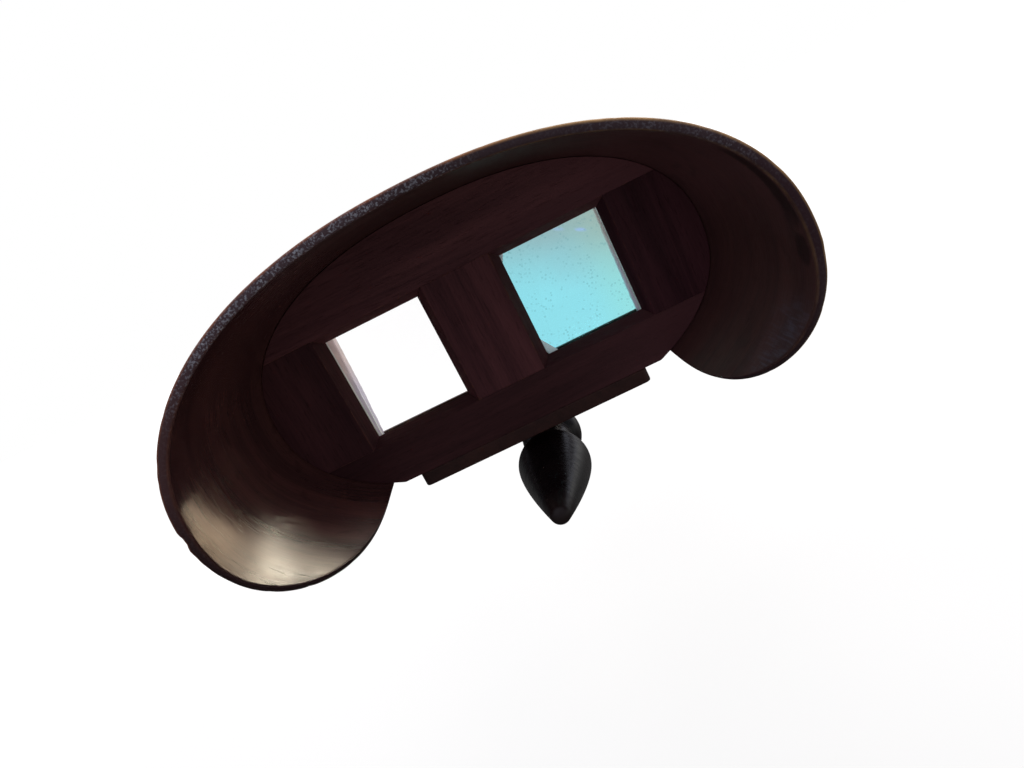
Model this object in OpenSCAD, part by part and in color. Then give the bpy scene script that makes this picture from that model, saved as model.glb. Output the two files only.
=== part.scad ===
// Folding hand stereoscope: a wooden hood and framed lens board on a base, a shaft that
// carries a sliding card bar, and a turned handle that folds up under the shaft.
// Modelled with the eye openings' midpoint as working origin: X to the right, Y away from
// the eyes, Z up. The finished part is moved so that it stands on Z = 0 about its middle.

/* [Lens board] */
// Distance between the centres of the two eye openings
eye_spacing = 64; // [60:0.5:70]
// Width of one eye opening
opening_w = 34.3; // [28:0.1:38]
// Height of one eye opening
opening_h = 36.5; // [30:0.1:40]
// Width of the chamfer round an opening
chamfer_w = 2.8; // [1:0.1:4]
// Depth of that chamfer
chamfer_d = 4; // [2:0.1:6]
// Full width of the oval board
board_w = 154.2; // [140:0.1:170]
// Full height of the oval before its foot is cut flat
board_h = 86.8; // [80:0.1:100]
// Fullness of the oval, where 2 is an ellipse
oval_power = 2.24; // [2:0.01:2.6]
// Drop from the lens axis to the board's flat foot
foot_drop = 35.8; // [33:0.1:39]
// Gap between the board's edge and the hood
board_gap = 0.2; // [0.15:0.05:0.4]

/* [Hood] */
// Thickness of the hood's wall
hood_wall = 3; // [2:0.1:4]
// Outward spread of the hood for each millimetre of its depth
hood_flare = 0.1; // [0.04:0.01:0.16]
// Depth of the hood over the forehead
forehead_depth = 45; // [36:0.5:54]
// Depth of the hood beside the temples
temple_depth = 66.8; // [58:0.1:76]
// Angle below the lens axis at which the hood is deepest
temple_angle = 7; // [0:1:14]
// Angle below the lens axis at which the hood's edge comes back to the board
corner_angle = 49.7; // [46:0.1:52]
// Depth left where the hood's edge comes back to the board
corner_depth = 3; // [2.5:0.1:6]
// Roundness of the hood's lower edge, where 2 is an ellipse
cheek_power = 2.9; // [2:0.1:3.4]
// Fall of the rim towards the forehead, where higher values drop it sooner
brow_power = 2.4; // [1.6:0.1:3.2]
// Length of the rounding on the hood's rim
rim_round = 1.5; // [0.8:0.1:2]

/* [Lenses] */
// Radius of a lens's curved face
lens_radius = 99; // [90:1:150]
// Thickness of a lens at its optical centre
lens_t = 7.8; // [7:0.1:11]
// Outward shift of the optical centre from the opening's middle
optical_shift = 10; // [4:0.5:14]
// How far a lens reaches behind the frame on three sides
lens_cover = 1.6; // [1:0.1:2]
// Plain wall between the chamfer and the lens
lens_land = 0.5; // [0.3:0.1:2]
// Gap between a lens's back and its beads
lens_back_gap = 0.2; // [0.1:0.05:0.6]
// Gap between a lens and the sides of its seat
lens_gap = 0.15; // [0.1:0.05:0.3]

/* [Lens beads] */
// Width of a bead strip
bead_w = 6; // [5:0.1:7]
// Thickness of a bead strip
bead_t = 2.2; // [1.6:0.1:3]
// Setback of the beads from the edge of the opening
bead_set = 0.6; // [0.3:0.1:1]
// Open joint between two bead strips
bead_joint = 0.1; // [0.05:0.05:0.3]

/* [Base and shaft] */
// Width of the base board's front
base_w = 84.2; // [70:0.1:94]
// Thickness of the base board
base_t = 5; // [4:0.1:7]
// Length of the base board
base_l = 84; // [70:0.5:100]
// Length of the full-width front of the base board
base_front_l = 15; // [13:0.5:20]
// Width of the base board's tail
base_tail_w = 40; // [30:0.5:56]
// Radius on the front corners of the base board
base_corner = 2; // [1:0.1:4]
// Width of the shaft
shaft_w = 26; // [22:0.5:30]
// Thickness of the shaft
shaft_t = 7.5; // [6:0.1:10]
// Gap along the shaft between its front end and the handle's bulb
nose_gap = 5; // [2:0.5:12]
// Distance of the shaft's far end from the board's face
shaft_end = 255; // [220:1:300]
// Radius on the corners of the shaft's far end
shaft_corner = 6; // [2:0.5:10]

/* [Card bar] */
// Gap between the pushed-in card bar and what it would meet
bar_rest_gap = 6; // [5:0.5:20]
// Length of the card bar
bar_l = 178; // [160:1:190]
// Depth of the card bar along the shaft
bar_t = 16; // [12:0.5:24]
// Height of the card bar's ends
bar_end_h = 12; // [10:0.5:16]
// Length of the bar's deep middle part
bar_mid_l = 60; // [40:1:80]
// Wood left under the shaft's mortise
bar_under = 5; // [4.5:0.1:9]
// Wood left between the mortise and the card groove
bar_over = 2; // [1.6:0.1:3]
// Depth of the card groove
groove_d = 3.2; // [2:0.1:4]
// Width of the card groove
card_gap = 2.6; // [1.6:0.1:3]
// Clearance of the shaft in the mortise
slide_gap = 0.35; // [0.2:0.05:0.5]

/* [Card wires] */
// Diameter of the wire
wire_d = 2; // [1.6:0.1:2.4]
// Height of a wire above the bar
wire_h = 40; // [30:0.5:60]
// Spread of a wire's two legs
wire_spread = 8; // [6:0.5:9]
// Distance from the bar's end to the outer leg
wire_inset = 2.5; // [2:0.1:4]
// Depth of the wire's holes in the bar
wire_hole_d = 8; // [5:0.5:9]

/* [Slide spring] */
// Width of the leaf spring under the shaft
spring_w = 12; // [8:0.5:18]
// Thickness of the leaf spring
spring_t = 0.8; // [0.5:0.1:1]
// Free space on each side of the spring's tongue
spring_gap = 0.4; // [0.25:0.05:0.6]
// Bare wood under the spring's foot
spring_edge = 0.4; // [0.2:0.1:1.5]
// Length of the tongue inside the mortise
spring_l = 13; // [6:0.5:15]

/* [Handle] */
// Distance of the hinge from the end of the base board
hinge_set = 10; // [4:0.5:16]
// Gap between the folded handle's collar and the shaft
fold_gap = 1.94; // [1:0.1:6]
// Tilt of the folded handle, with its tip up
fold_tilt = 5.6; // [0:0.1:8]
// Radius of the turned collar
collar_r = 12.3; // [10:0.1:15]
// Length of the turned collar
collar_l = 14; // [8:0.5:18]
// Radius of the grip where it meets the ferrule
neck_r = 8.6; // [8:0.1:9.5]
// Radius at the waist of the grip
waist_r = 7.2; // [5:0.1:9]
// Radius of the bulb
bulb_r = 12.8; // [10:0.1:15]
// Distance from the hinge to the middle of the bulb
bulb_at = 60.5; // [50:0.5:70]
// Length of the rounded shoulder behind the bulb
shoulder_l = 7; // [4:0.5:12]
// Length from the middle of the bulb to the tip
taper_l = 53; // [40:0.5:70]
// Fullness of the taper, where 1 is straight
taper_power = 1.21; // [1:0.01:1.6]
// Radius of the tip
tip_r = 3.2; // [2.4:0.1:4.5]

/* [Hinge] */
// Thickness of the bracket's plate
plate_t = 2; // [1.6:0.1:2.4]
// Width of the bracket's plate
plate_w = 22; // [20:0.5:24]
// Plate in front of the hinge
plate_fore = 8; // [7:0.5:10]
// Plate behind the hinge
plate_aft = 12; // [9:0.5:20]
// Thickness of an ear
ear_t = 2.5; // [2:0.1:3]
// Radius of the ears and of the handle's eye
eye_r = 6; // [5:0.1:6.5]
// Width of the handle's eye
eye_w = 12; // [11:0.1:13]
// Side clearance of the eye between the ears
eye_gap = 0.1; // [0.05:0.05:0.2]
// Diameter of the hinge pin
pin_d = 4; // [3:0.1:5]
// Radial clearance of the hinge pin
pin_gap = 0.05; // [0.02:0.01:0.08]
// Radius of the pin's riveted heads
rivet_r = 3.2; // [3:0.1:4]
// Thickness of the pin's riveted heads
rivet_t = 1.2; // [0.8:0.1:1.6]
// Gap between the ears' round ends and the ferrule's flange
flange_gap = 3; // [1:0.5:6]
// Thickness of the ferrule's flange
flange_t = 4; // [2:0.1:6]
// Radius of the tang inside the grip
tang_r = 2.5; // [2:0.1:3]
// Length of the tang inside the grip
tang_l = 25; // [15:0.5:30]

/* [Fasteners] */
// Head diameter of the wood screws
screw_head_d = 6; // [5:0.1:6]
// Shank diameter of the wood screws
screw_d = 3; // [2.4:0.1:3.2]
// Height of a screw's countersunk head
screw_head_h = 1.6; // [1.2:0.1:1.9]
// Length of the screws that hold the lens board
board_screw_l = 14; // [10:0.5:16]
// Spacing of the screws that hold the lens board
board_screw_pitch = 21; // [14:0.5:24]
// Length of the screws that join base and shaft
shaft_screw_l = 11; // [8:0.5:12]
// Distance of those screws from the shaft's middle line
shaft_screw_x = 7; // [5:0.1:8]
// Distance of those screws from the end of shaft or base
shaft_screw_edge = 10; // [6:0.5:14]
// Length of the hinge bracket's screws
bracket_screw_l = 8; // [6:0.5:9]
// Distance of the bracket's screws from the plate's ends
bracket_screw_edge = 4.4; // [3.6:0.1:5]
// Size of the spring's screw against the other screws
spring_screw_size = 0.62; // [0.5:0.01:0.7]
// Length of the spring's screw
spring_screw_l = 4.4; // [3:0.1:6]
// Width and depth of a screw's slot
slot_w = 0.9; // [0.6:0.1:1.1]
// Head diameter of the round-headed nails
nail_head_d = 3; // [2.4:0.1:3.4]
// Height of a nail's head
nail_head_h = 0.9; // [0.5:0.1:1.5]
// Shank diameter of the nails
nail_d = 1.2; // [1:0.1:1.5]
// Length of a hood nail under its head
hood_nail_l = 10; // [8:0.5:12]
// Length of a bead pin under its head
bead_pin_l = 6; // [5:0.5:7]
// Spacing of the two pins in a level bead
bead_pin_pitch = 20.6; // [12:0.1:30]
// Diameter of the stop stud's head
stop_head_d = 7; // [6:0.1:9]
// Height of the stop stud's head
stop_head_h = 3.2; // [2:0.1:5]
// Wood left between the stop stud and the shaft's end
stop_edge = 2.5; // [1:0.1:8]
// Wood left under the stop stud's shank
stop_floor = 1; // [0.6:0.1:2]
// Clearance of a fastener in its hole
hole_gap = 0.06; // [0.04:0.01:0.1]

/* [Hidden] */
$fn = 64;
oval_steps = 96;
cheek_steps = 20;
brow_steps = 28;
eps = 0.5;

// Levels of the lens board, base and shaft, measured from the lens axis
eye_x = eye_spacing / 2;
inner_x = eye_x - opening_w / 2;
outer_x = eye_x + opening_w / 2;
inner_arris = inner_x - chamfer_w;
outer_arris = outer_x + chamfer_w;
sill_z = opening_h / 2;
arris_z = sill_z + chamfer_w;
lens_y = chamfer_d + lens_land;
board_t = lens_y + lens_t + lens_back_gap;
base_top = -foot_drop;
shaft_top = base_top - base_t;
shaft_low = shaft_top - shaft_t;

// Levels of the card bar
mortise_top = shaft_top + slide_gap;
spring_top = shaft_low - spring_gap;
mortise_low = spring_top - spring_t - spring_gap;
groove_low = mortise_top + bar_over;
bar_top = groove_low + groove_d;
bar_low = mortise_low - bar_under;
bar_end_low = bar_top - bar_end_h;
bar_cove_r = bar_end_low - bar_low;
hinge_y = base_l - hinge_set;
bar_front = max(base_l, hinge_y + plate_aft) + bar_rest_gap;
card_at = bar_front + bar_t / 2;
bar_back = bar_front + bar_t;
wire_y = card_gap / 2 + wire_d / 2;
wire_x = bar_l / 2 - wire_inset - wire_spread / 2;
spring_screw_z = (mortise_low + bar_low) / 2;
stop_y = shaft_end - stop_head_d / 2 - stop_edge;

// Stations along the folded handle, measured from the hinge
flange_at = eye_r + flange_gap;
grip_at = flange_at + flange_t;
collar_at = grip_at + collar_l / 2;
tip_at = bulb_at + taper_l;
tip_round = 0.6 * tip_r;
ear_x = eye_w / 2 + eye_gap;

// The tilted collar sets the hinge's height under the shaft
collar_rise = collar_r - neck_r;
collar_reach = neck_r * cos(fold_tilt) + norm([collar_rise * cos(fold_tilt), collar_l / 2 * sin(fold_tilt)]);
collar_z = shaft_low - fold_gap - collar_reach;
hinge_z = collar_z - collar_at * sin(fold_tilt);
shaft_front = hinge_y - (bulb_at - shoulder_l) * cos(fold_tilt) + nose_gap;

// Lowest point of the part, under the collar or the bulb
bulb_low = hinge_z + bulb_at * sin(fold_tilt) - bulb_r;
lowest_z = min(collar_z - collar_reach, bulb_low);

// Places of the fasteners
board_screw_x = [for (k = [-1.5:1:1.5]) k * board_screw_pitch];
shaft_screw_y = [shaft_front + shaft_screw_edge, base_l - shaft_screw_edge];
shaft_screw_xy = [for (y = shaft_screw_y, side = [-1, 1]) [side * shaft_screw_x, y]];
bracket_screw_y = [hinge_y - plate_fore + bracket_screw_edge, hinge_y + plate_aft - bracket_screw_edge];
rail_nail_angle = oval_angle((arris_z + foot_drop) / 2);
hood_nail_angles = [-rail_nail_angle, -8, 18, 44, 68, 90, 112, 136, 162, 188, 180 + rail_nail_angle];
bead_x = opening_w / 2 + bead_set + bead_w / 2;
bead_z = sill_z + bead_set + bead_w / 2;
bead_pin_xz = [for (side = [-1, 1], up = [-1, 1])
    each [[side * eye_x - bead_pin_pitch / 2, up * bead_z], [side * eye_x + bead_pin_pitch / 2, up * bead_z],
        [side * eye_x + up * bead_x, 0]]];

wood_dark = [0.20, 0.11, 0.09];
wood_inner = [0.24, 0.14, 0.11];
wood_black = [0.06, 0.05, 0.05];
iron = [0.16, 0.15, 0.15];
brass = [0.62, 0.48, 0.24];
steel = [0.55, 0.54, 0.52];
glass_clear = [0.88, 0.92, 0.93, 0.5];
glass_tint = [0.60, 0.84, 0.88, 0.5];

// The whole part stands on Z = 0, centred along the shaft
module stand() {
    translate([0, (temple_depth - shaft_end) / 2, -lowest_z]) children();
}

// A flat outline in X and Z, given a thickness along Y
module slab(y, t) {
    translate([0, y + t, 0]) rotate([90, 0, 0]) linear_extrude(t) children();
}

// A flat outline in Y and Z, given a thickness about X = 0
module fin(t) {
    translate([-t / 2, 0, 0]) rotate([90, 0, 90]) linear_extrude(t) children();
}

module box(low, high) {
    translate(low) cube(high - low);
}

// A turned solid of screw form: head up at the origin, shank down
module screw_form(head_d, head_h, d, length, grow = 0) {
    rotate_extrude() polygon([
        [0, grow > 0 ? eps : 0], [head_d / 2 + grow, grow > 0 ? eps : 0], [head_d / 2 + grow, 0],
        [d / 2 + grow, -head_h], [d / 2 + grow, -length - grow], [0, -length - grow]
    ]);
}

module wood_screw(length) {
    difference() {
        screw_form(screw_head_d, screw_head_h, screw_d, length);
        cube([screw_head_d + eps, slot_w, 2 * slot_w], center = true);
    }
}

module screw_hole(length) {
    screw_form(screw_head_d, screw_head_h, screw_d, length, hole_gap);
}

// A nail with a low domed head above the origin and its shank down
module nail(length) {
    rotate_extrude() polygon(concat(
        [[0, -length], [nail_d / 2, -length + nail_d], [nail_d / 2, 0]],
        [for (a = [0:15:90]) [nail_head_d / 2 * cos(a), nail_head_h * sin(a)]]
    ));
}

module nail_hole(length) {
    translate([0, 0, -length - hole_gap]) cylinder(d = nail_d + 2 * hole_gap, h = length + eps, $fn = 24);
}

// Points of the oval at an angle from +X, grown outward by a set amount
function oval_r(q) = pow(pow(abs(cos(q)), oval_power) + pow(abs(sin(q)), oval_power), -1 / oval_power);
function oval_point(q, grow) = oval_r(q) * [(board_w / 2 + grow) * cos(q), (board_h / 2 + grow) * sin(q)];

// Angle at which the oval's edge lies at a set height from the lens axis
function oval_angle(z) = let (s = z / (board_h / 2)) atan2(s, pow(1 - pow(s, oval_power), 1 / oval_power));

// Direction square to the oval's edge at an angle
function oval_slope(v, half) = sign(v) * pow(abs(v) / half, oval_power - 1) / half;
function oval_normal(q) = let (p = oval_point(q, 0))
    let (n = [oval_slope(p.x, board_w / 2), oval_slope(p.y, board_h / 2)])
    n / norm(n);

// One half of the hood's rim as [angle, depth] from its lower corner up to the brow
function cheek_station(a) = [
    -temple_angle - (corner_angle - temple_angle) * pow(sin(a), 2 / cheek_power),
    corner_depth + (temple_depth - corner_depth) * pow(cos(a), 2 / cheek_power)
];
function brow_station(f) = [
    -temple_angle + (90 + temple_angle) * f,
    forehead_depth + (temple_depth - forehead_depth) * pow(cos(90 * f), brow_power)
];
half_rim = concat(
    [for (k = [0:cheek_steps - 1]) cheek_station(90 * (1 - k / cheek_steps))],
    [for (k = [0:brow_steps]) brow_station(k / brow_steps)]
);
rim = concat(half_rim, [for (k = [len(half_rim) - 2:-1:0]) [180 - half_rim[k][0], half_rim[k][1]]]);

// The hood's cut face at one station: up its inside, round the rim and down its outside
wall_steps = 4;
function wall_point(q, grow, y) = let (p = oval_point(q, grow)) [p.x, y, p.y];
function wall_line(q, run, grow) = [for (k = [0:wall_steps]) let (d = run * k / wall_steps)
    wall_point(q, hood_flare * d + grow, -d)];
function reversed(list) = [for (k = [len(list) - 1:-1:0]) list[k]];
function hood_section(q, depth) = let (run = depth - rim_round) concat(
    [wall_point(q, 0, board_t)],
    wall_line(q, run, 0),
    [for (a = [45, 90, 135])
        wall_point(q, hood_flare * run + hood_wall * (1 - cos(a)) / 2, -run - rim_round * sin(a))],
    reversed(wall_line(q, run, hood_wall)),
    [wall_point(q, hood_wall, board_t)]
);

module hood() {
    sections = [for (s = rim) hood_section(s[0], s[1])];
    n = len(sections[0]);
    last = len(sections) - 1;
    skin = [for (i = [0:last - 1], j = [0:n - 1]) let (a = i * n + j, b = i * n + (j + 1) % n)
        each [[a, a + n, b + n], [a, b + n, b]]];
    half = (n - 1) / 2;
    ends = [for (j = [0:half - 1]) let (k = n - 1 - j, e = last * n)
        each (j == half - 1
            ? [[j, j + 1, k], [e + j, e + k, e + j + 1]]
            : [[j, j + 1, k - 1], [j, k - 1, k], [e + j, e + k - 1, e + j + 1], [e + j, e + k, e + k - 1]])];
    color(wood_dark) difference() {
        polyhedron([for (s = sections) each s], concat(skin, ends));
        at_hood_nails() nail_hole(hood_nail_l);
    }
}

// Stands each hood nail on the hood's outside, pointing into the board's edge
module at_hood_nails() {
    for (q = hood_nail_angles) {
        p = oval_point(q, hood_wall + hole_gap);
        d = oval_normal(q);
        translate([p.x, board_t / 2, p.y]) rotate([0, 90 - atan2(d.y, d.x), 0]) children();
    }
}

module hood_nails() {
    color(iron) at_hood_nails() nail(hood_nail_l);
}

// The oval board, flat at its foot, before it is divided into rails and stiles
module board_blank() {
    intersection() {
        slab(0, board_t) polygon([for (k = [0:oval_steps - 1]) oval_point(360 * k / oval_steps, -board_gap)]);
        box([-board_w, -eps, base_top], [board_w, board_t + eps, board_h]);
    }
}

// The four chamfers round one opening, as a hollow that narrows to the opening
module chamfer_hollow() {
    spread = chamfer_w * (chamfer_d + eps) / chamfer_d;
    intersection() {
        translate([0, 0, -board_h / 2]) linear_extrude(board_h) polygon([
            [-opening_w / 2 - spread, -eps], [opening_w / 2 + spread, -eps],
            [opening_w / 2, chamfer_d], [-opening_w / 2, chamfer_d]
        ]);
        fin(board_w) polygon([
            [-eps, -sill_z - spread], [chamfer_d, -sill_z], [chamfer_d, sill_z], [-eps, sill_z + spread]
        ]);
    }
}

// What is cut from the board for both eyes: chamfers, lens seats and pin holes
module board_cuts() {
    for (side = [-1, 1]) {
        translate([side * eye_x, 0, 0]) chamfer_hollow();
        mirror([side < 0 ? 1 : 0, 0, 0]) box(
            [inner_x - lens_cover - lens_gap, lens_y, -sill_z - lens_cover - lens_gap],
            [outer_x + lens_gap, board_t + eps, sill_z + lens_cover + lens_gap]
        );
    }
    at_bead_pins() nail_hole(bead_pin_l);
    at_hood_nails() nail_hole(hood_nail_l);
    at_board_screws() screw_hole(board_screw_l);
}

module board_piece(outline) {
    color(wood_dark) difference() {
        intersection() {
            board_blank();
            slab(-eps, board_t + 2 * eps) polygon(outline);
        }
        board_cuts();
    }
}

// A rail's outline: the joint line steps down to each opening along the mitres
function rail_outline(up) = [
    [-board_w, up * arris_z], [-outer_arris, up * arris_z], [-outer_x, up * sill_z], [-inner_x, up * sill_z],
    [-inner_arris, up * arris_z], [inner_arris, up * arris_z], [inner_x, up * sill_z], [outer_x, up * sill_z],
    [outer_arris, up * arris_z], [board_w, up * arris_z], [board_w, up * board_h], [-board_w, up * board_h]
];
function side_outline(side) = [
    [side * outer_x, -sill_z], [side * outer_arris, -arris_z], [side * board_w, -arris_z],
    [side * board_w, arris_z], [side * outer_arris, arris_z], [side * outer_x, sill_z]
];
centre_outline = [
    [-inner_arris, -arris_z], [inner_arris, -arris_z], [inner_x, -sill_z], [inner_x, sill_z],
    [inner_arris, arris_z], [-inner_arris, arris_z], [-inner_x, sill_z], [-inner_x, -sill_z]
];

module top_rail() {
    board_piece(rail_outline(1));
}

module bottom_rail() {
    board_piece(rail_outline(-1));
}

module left_stile() {
    board_piece(side_outline(-1));
}

module right_stile() {
    board_piece(side_outline(1));
}

module centre_stile() {
    board_piece(centre_outline);
}

// A half lens: flat towards the eye, curved behind, thickest towards the outside
module lens(side, tint) {
    color(tint) mirror([side < 0 ? 1 : 0, 0, 0]) intersection() {
        box([inner_x - lens_cover, lens_y, -sill_z - lens_cover], [outer_x, board_t, sill_z + lens_cover]);
        translate([eye_x + optical_shift, lens_y + lens_t - lens_radius, 0]) sphere(lens_radius, $fn = 128);
    }
}

module left_lens() {
    lens(-1, glass_clear);
}

module right_lens() {
    lens(1, glass_tint);
}

// A level bead strip behind a lens, over or under the opening
module level_bead(side, up) {
    l = opening_w + 2 * (bead_set + bead_w);
    bead([side * eye_x, up * bead_z], [l, bead_w]);
}

// An upright bead strip between the level ones, on the nose or the temple side
module upright_bead(side, out) {
    l = opening_h + 2 * bead_set - 2 * bead_joint;
    bead([side * (eye_x + out * bead_x), 0], [bead_w, l]);
}

module bead(middle, size) {
    color(wood_inner) difference() {
        translate([middle.x - size.x / 2, board_t, middle.y - size.y / 2]) cube([size.x, bead_t, size.y]);
        at_bead_pins() nail_hole(bead_pin_l);
    }
}

module left_top_bead() {
    level_bead(-1, 1);
}

module left_bottom_bead() {
    level_bead(-1, -1);
}

module left_inner_bead() {
    upright_bead(-1, -1);
}

module left_outer_bead() {
    upright_bead(-1, 1);
}

module right_top_bead() {
    level_bead(1, 1);
}

module right_bottom_bead() {
    level_bead(1, -1);
}

module right_inner_bead() {
    upright_bead(1, -1);
}

module right_outer_bead() {
    upright_bead(1, 1);
}

module at_bead_pins() {
    for (p = bead_pin_xz) {
        translate([p.x, board_t + bead_t + hole_gap, p.y]) rotate([-90, 0, 0]) children();
    }
}

module bead_pins() {
    color(brass) at_bead_pins() nail(bead_pin_l);
}

module at_board_screws() {
    for (x = board_screw_x) {
        translate([x, board_t / 2, shaft_top]) rotate([180, 0, 0]) children();
    }
}

module board_screws() {
    color(steel) at_board_screws() wood_screw(board_screw_l);
}

module at_shaft_screws() {
    for (p = shaft_screw_xy) {
        translate([p.x, p.y, base_top]) children();
    }
}

module shaft_screws() {
    color(steel) at_shaft_screws() wood_screw(shaft_screw_l);
}

// Leaves the corner outside a quarter round of radius r about the origin, for one quadrant
module corner_waste(r, h) {
    difference() {
        translate([0, 0, -eps]) cube([r + eps, r + eps, h + 2 * eps]);
        translate([0, 0, -2 * eps]) cylinder(r = r, h = h + 4 * eps);
    }
}

module base_board() {
    cove = (base_w - base_tail_w) / 2;
    cove_y = base_front_l + cove;
    color(wood_dark) difference() {
        box([-base_w / 2, 0, shaft_top], [base_w / 2, base_l, base_top]);
        for (side = [0, 1]) mirror([side, 0, 0]) {
            translate([base_w / 2 - base_corner, base_corner, shaft_top]) mirror([0, 1, 0])
                corner_waste(base_corner, base_t);
            translate([base_w / 2, cove_y, shaft_top - eps]) cylinder(r = cove, h = base_t + 2 * eps);
            box([base_tail_w / 2, cove_y, shaft_top - eps], [base_w, base_l + eps, base_top + eps]);
        }
        at_board_screws() screw_hole(board_screw_l);
        at_shaft_screws() screw_hole(shaft_screw_l);
    }
}

module shaft() {
    color(wood_dark) difference() {
        box([-shaft_w / 2, shaft_front, shaft_low], [shaft_w / 2, shaft_end, shaft_top]);
        for (side = [0, 1]) mirror([side, 0, 0]) {
            translate([shaft_w / 2 - shaft_corner, shaft_end - shaft_corner, shaft_low])
                corner_waste(shaft_corner, shaft_t);
        }
        at_shaft_screws() screw_hole(shaft_screw_l);
        at_bracket_screws() screw_hole(bracket_screw_l);
        translate([0, stop_y, shaft_low + stop_floor - hole_gap])
            cylinder(d = screw_d + 2 * hole_gap, h = shaft_t);
    }
}

// A domed stud that keeps the card bar on the shaft
module stop_stud() {
    color(brass) translate([0, stop_y, shaft_top]) rotate_extrude() polygon(concat(
        [[0, stop_floor - shaft_t], [screw_d / 2, stop_floor - shaft_t], [screw_d / 2, 0]],
        [for (a = [0:10:90]) [stop_head_d / 2 * cos(a), stop_head_h * sin(a)]]
    ));
}

module at_bracket_screws() {
    for (y = bracket_screw_y) {
        translate([0, y, shaft_low - plate_t]) rotate([180, 0, 0]) children();
    }
}

module bracket_screws() {
    color(steel) at_bracket_screws() wood_screw(bracket_screw_l);
}

// A plate under the shaft with two ears that carry the pin
module hinge_bracket() {
    plate_low = shaft_low - plate_t;
    color(iron) difference() {
        union() {
            box(
                [-plate_w / 2, hinge_y - plate_fore, plate_low],
                [plate_w / 2, hinge_y + plate_aft, shaft_low]
            );
            for (side = [0, 1]) mirror([side, 0, 0]) {
                box([ear_x, hinge_y - eye_r, hinge_z], [ear_x + ear_t, hinge_y + eye_r, plate_low]);
                translate([ear_x, hinge_y, hinge_z]) rotate([0, 90, 0]) cylinder(r = eye_r, h = ear_t);
            }
        }
        translate([-plate_w, hinge_y, hinge_z]) rotate([0, 90, 0])
            cylinder(d = pin_d + 2 * pin_gap, h = 2 * plate_w);
        at_bracket_screws() screw_hole(bracket_screw_l);
    }
}

module hinge_pin() {
    reach = ear_x + ear_t;
    color(steel) translate([0, hinge_y, hinge_z]) rotate([0, 90, 0]) {
        cylinder(d = pin_d, h = 2 * reach + 2 * rivet_t, center = true);
        for (side = [-1, 1]) {
            translate([0, 0, side * (reach + rivet_t / 2)]) cylinder(r = rivet_r, h = rivet_t, center = true);
        }
    }
}

// Places a piece that is drawn along +Z from the hinge onto the folded handle's axis
module along_handle() {
    translate([0, hinge_y, hinge_z]) rotate([90 - fold_tilt, 0, 0]) children();
}

module handle_ferrule() {
    color(iron) along_handle() difference() {
        union() {
            rotate([0, 90, 0]) cylinder(r = eye_r, h = eye_w, center = true);
            box([-eye_w / 2, -eye_r, 0], [eye_w / 2, eye_r, flange_at]);
            translate([0, 0, flange_at]) cylinder(r = neck_r, h = flange_t);
            translate([0, 0, grip_at]) cylinder(r = tang_r, h = tang_l);
        }
        rotate([0, 90, 0]) cylinder(d = pin_d + 2 * pin_gap, h = 2 * eye_w, center = true);
    }
}

// The turned grip as [radius, distance from the hinge]: collar, waist, shoulder, taper and tip
shoulder_at = bulb_at - shoulder_l;
collar_end = grip_at + collar_l;
function collar_point(a) = [neck_r + collar_rise * sin(a), collar_at - collar_l / 2 * cos(a)];
function waist_point(f) = [
    waist_r + (neck_r - waist_r) * pow(1 - f, 2),
    collar_end + (shoulder_at - collar_end) * f
];
function shoulder_point(a) = [waist_r + (bulb_r - waist_r) * sin(a), bulb_at - shoulder_l * cos(a)];
function taper_point(f) = [
    tip_r + (bulb_r - tip_r) * (1 - pow(f, taper_power)),
    bulb_at + (taper_l - tip_round) * f
];
function tip_point(a) = [tip_r * cos(a), tip_at - tip_round + tip_round * sin(a)];
grip_profile = concat(
    [[0, grip_at]],
    [for (a = [0:15:180]) collar_point(a)],
    [for (f = [0.2:0.2:0.9]) waist_point(f)],
    [for (a = [0:15:90]) shoulder_point(a)],
    [for (f = [0.08:0.08:0.97]) taper_point(f)],
    [for (a = [0:18:72]) tip_point(a)],
    [[0, tip_at]]
);

module handle_grip() {
    color(wood_black) along_handle() difference() {
        rotate_extrude() polygon(grip_profile);
        translate([0, 0, grip_at - eps]) cylinder(r = tang_r + hole_gap, h = tang_l + hole_gap + eps);
    }
}

// The card bar: a deep middle on the shaft, coved up to slim ends, with the card groove on top
module card_bar() {
    cove_x = bar_mid_l / 2 + bar_cove_r;
    color(wood_dark) difference() {
        box([-bar_l / 2, card_at - bar_t / 2, bar_low], [bar_l / 2, bar_back, bar_top]);
        for (side = [0, 1]) mirror([side, 0, 0]) {
            box([cove_x, card_at - bar_t, bar_low - eps], [bar_l, bar_back + bar_t, bar_end_low]);
            translate([cove_x, card_at - bar_t, bar_low]) rotate([-90, 0, 0])
                cylinder(r = bar_cove_r, h = 2 * bar_t);
        }
        box(
            [-shaft_w / 2 - slide_gap, card_at - bar_t, mortise_low],
            [shaft_w / 2 + slide_gap, bar_back + bar_t, mortise_top]
        );
        box([-bar_l, card_at - card_gap / 2, groove_low], [bar_l, card_at + card_gap / 2, bar_top + eps]);
        for (side = [-1, 1], row = [-1, 1], leg = [-1, 1]) {
            leg_x = side * wire_x + leg * wire_spread / 2;
            translate([leg_x, card_at + row * wire_y, bar_top - wire_hole_d - hole_gap])
                cylinder(d = wire_d + 2 * hole_gap, h = wire_hole_d + eps + hole_gap, $fn = 32);
        }
        at_spring_screw() screw_hole(spring_screw_l / spring_screw_size);
    }
}

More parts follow.
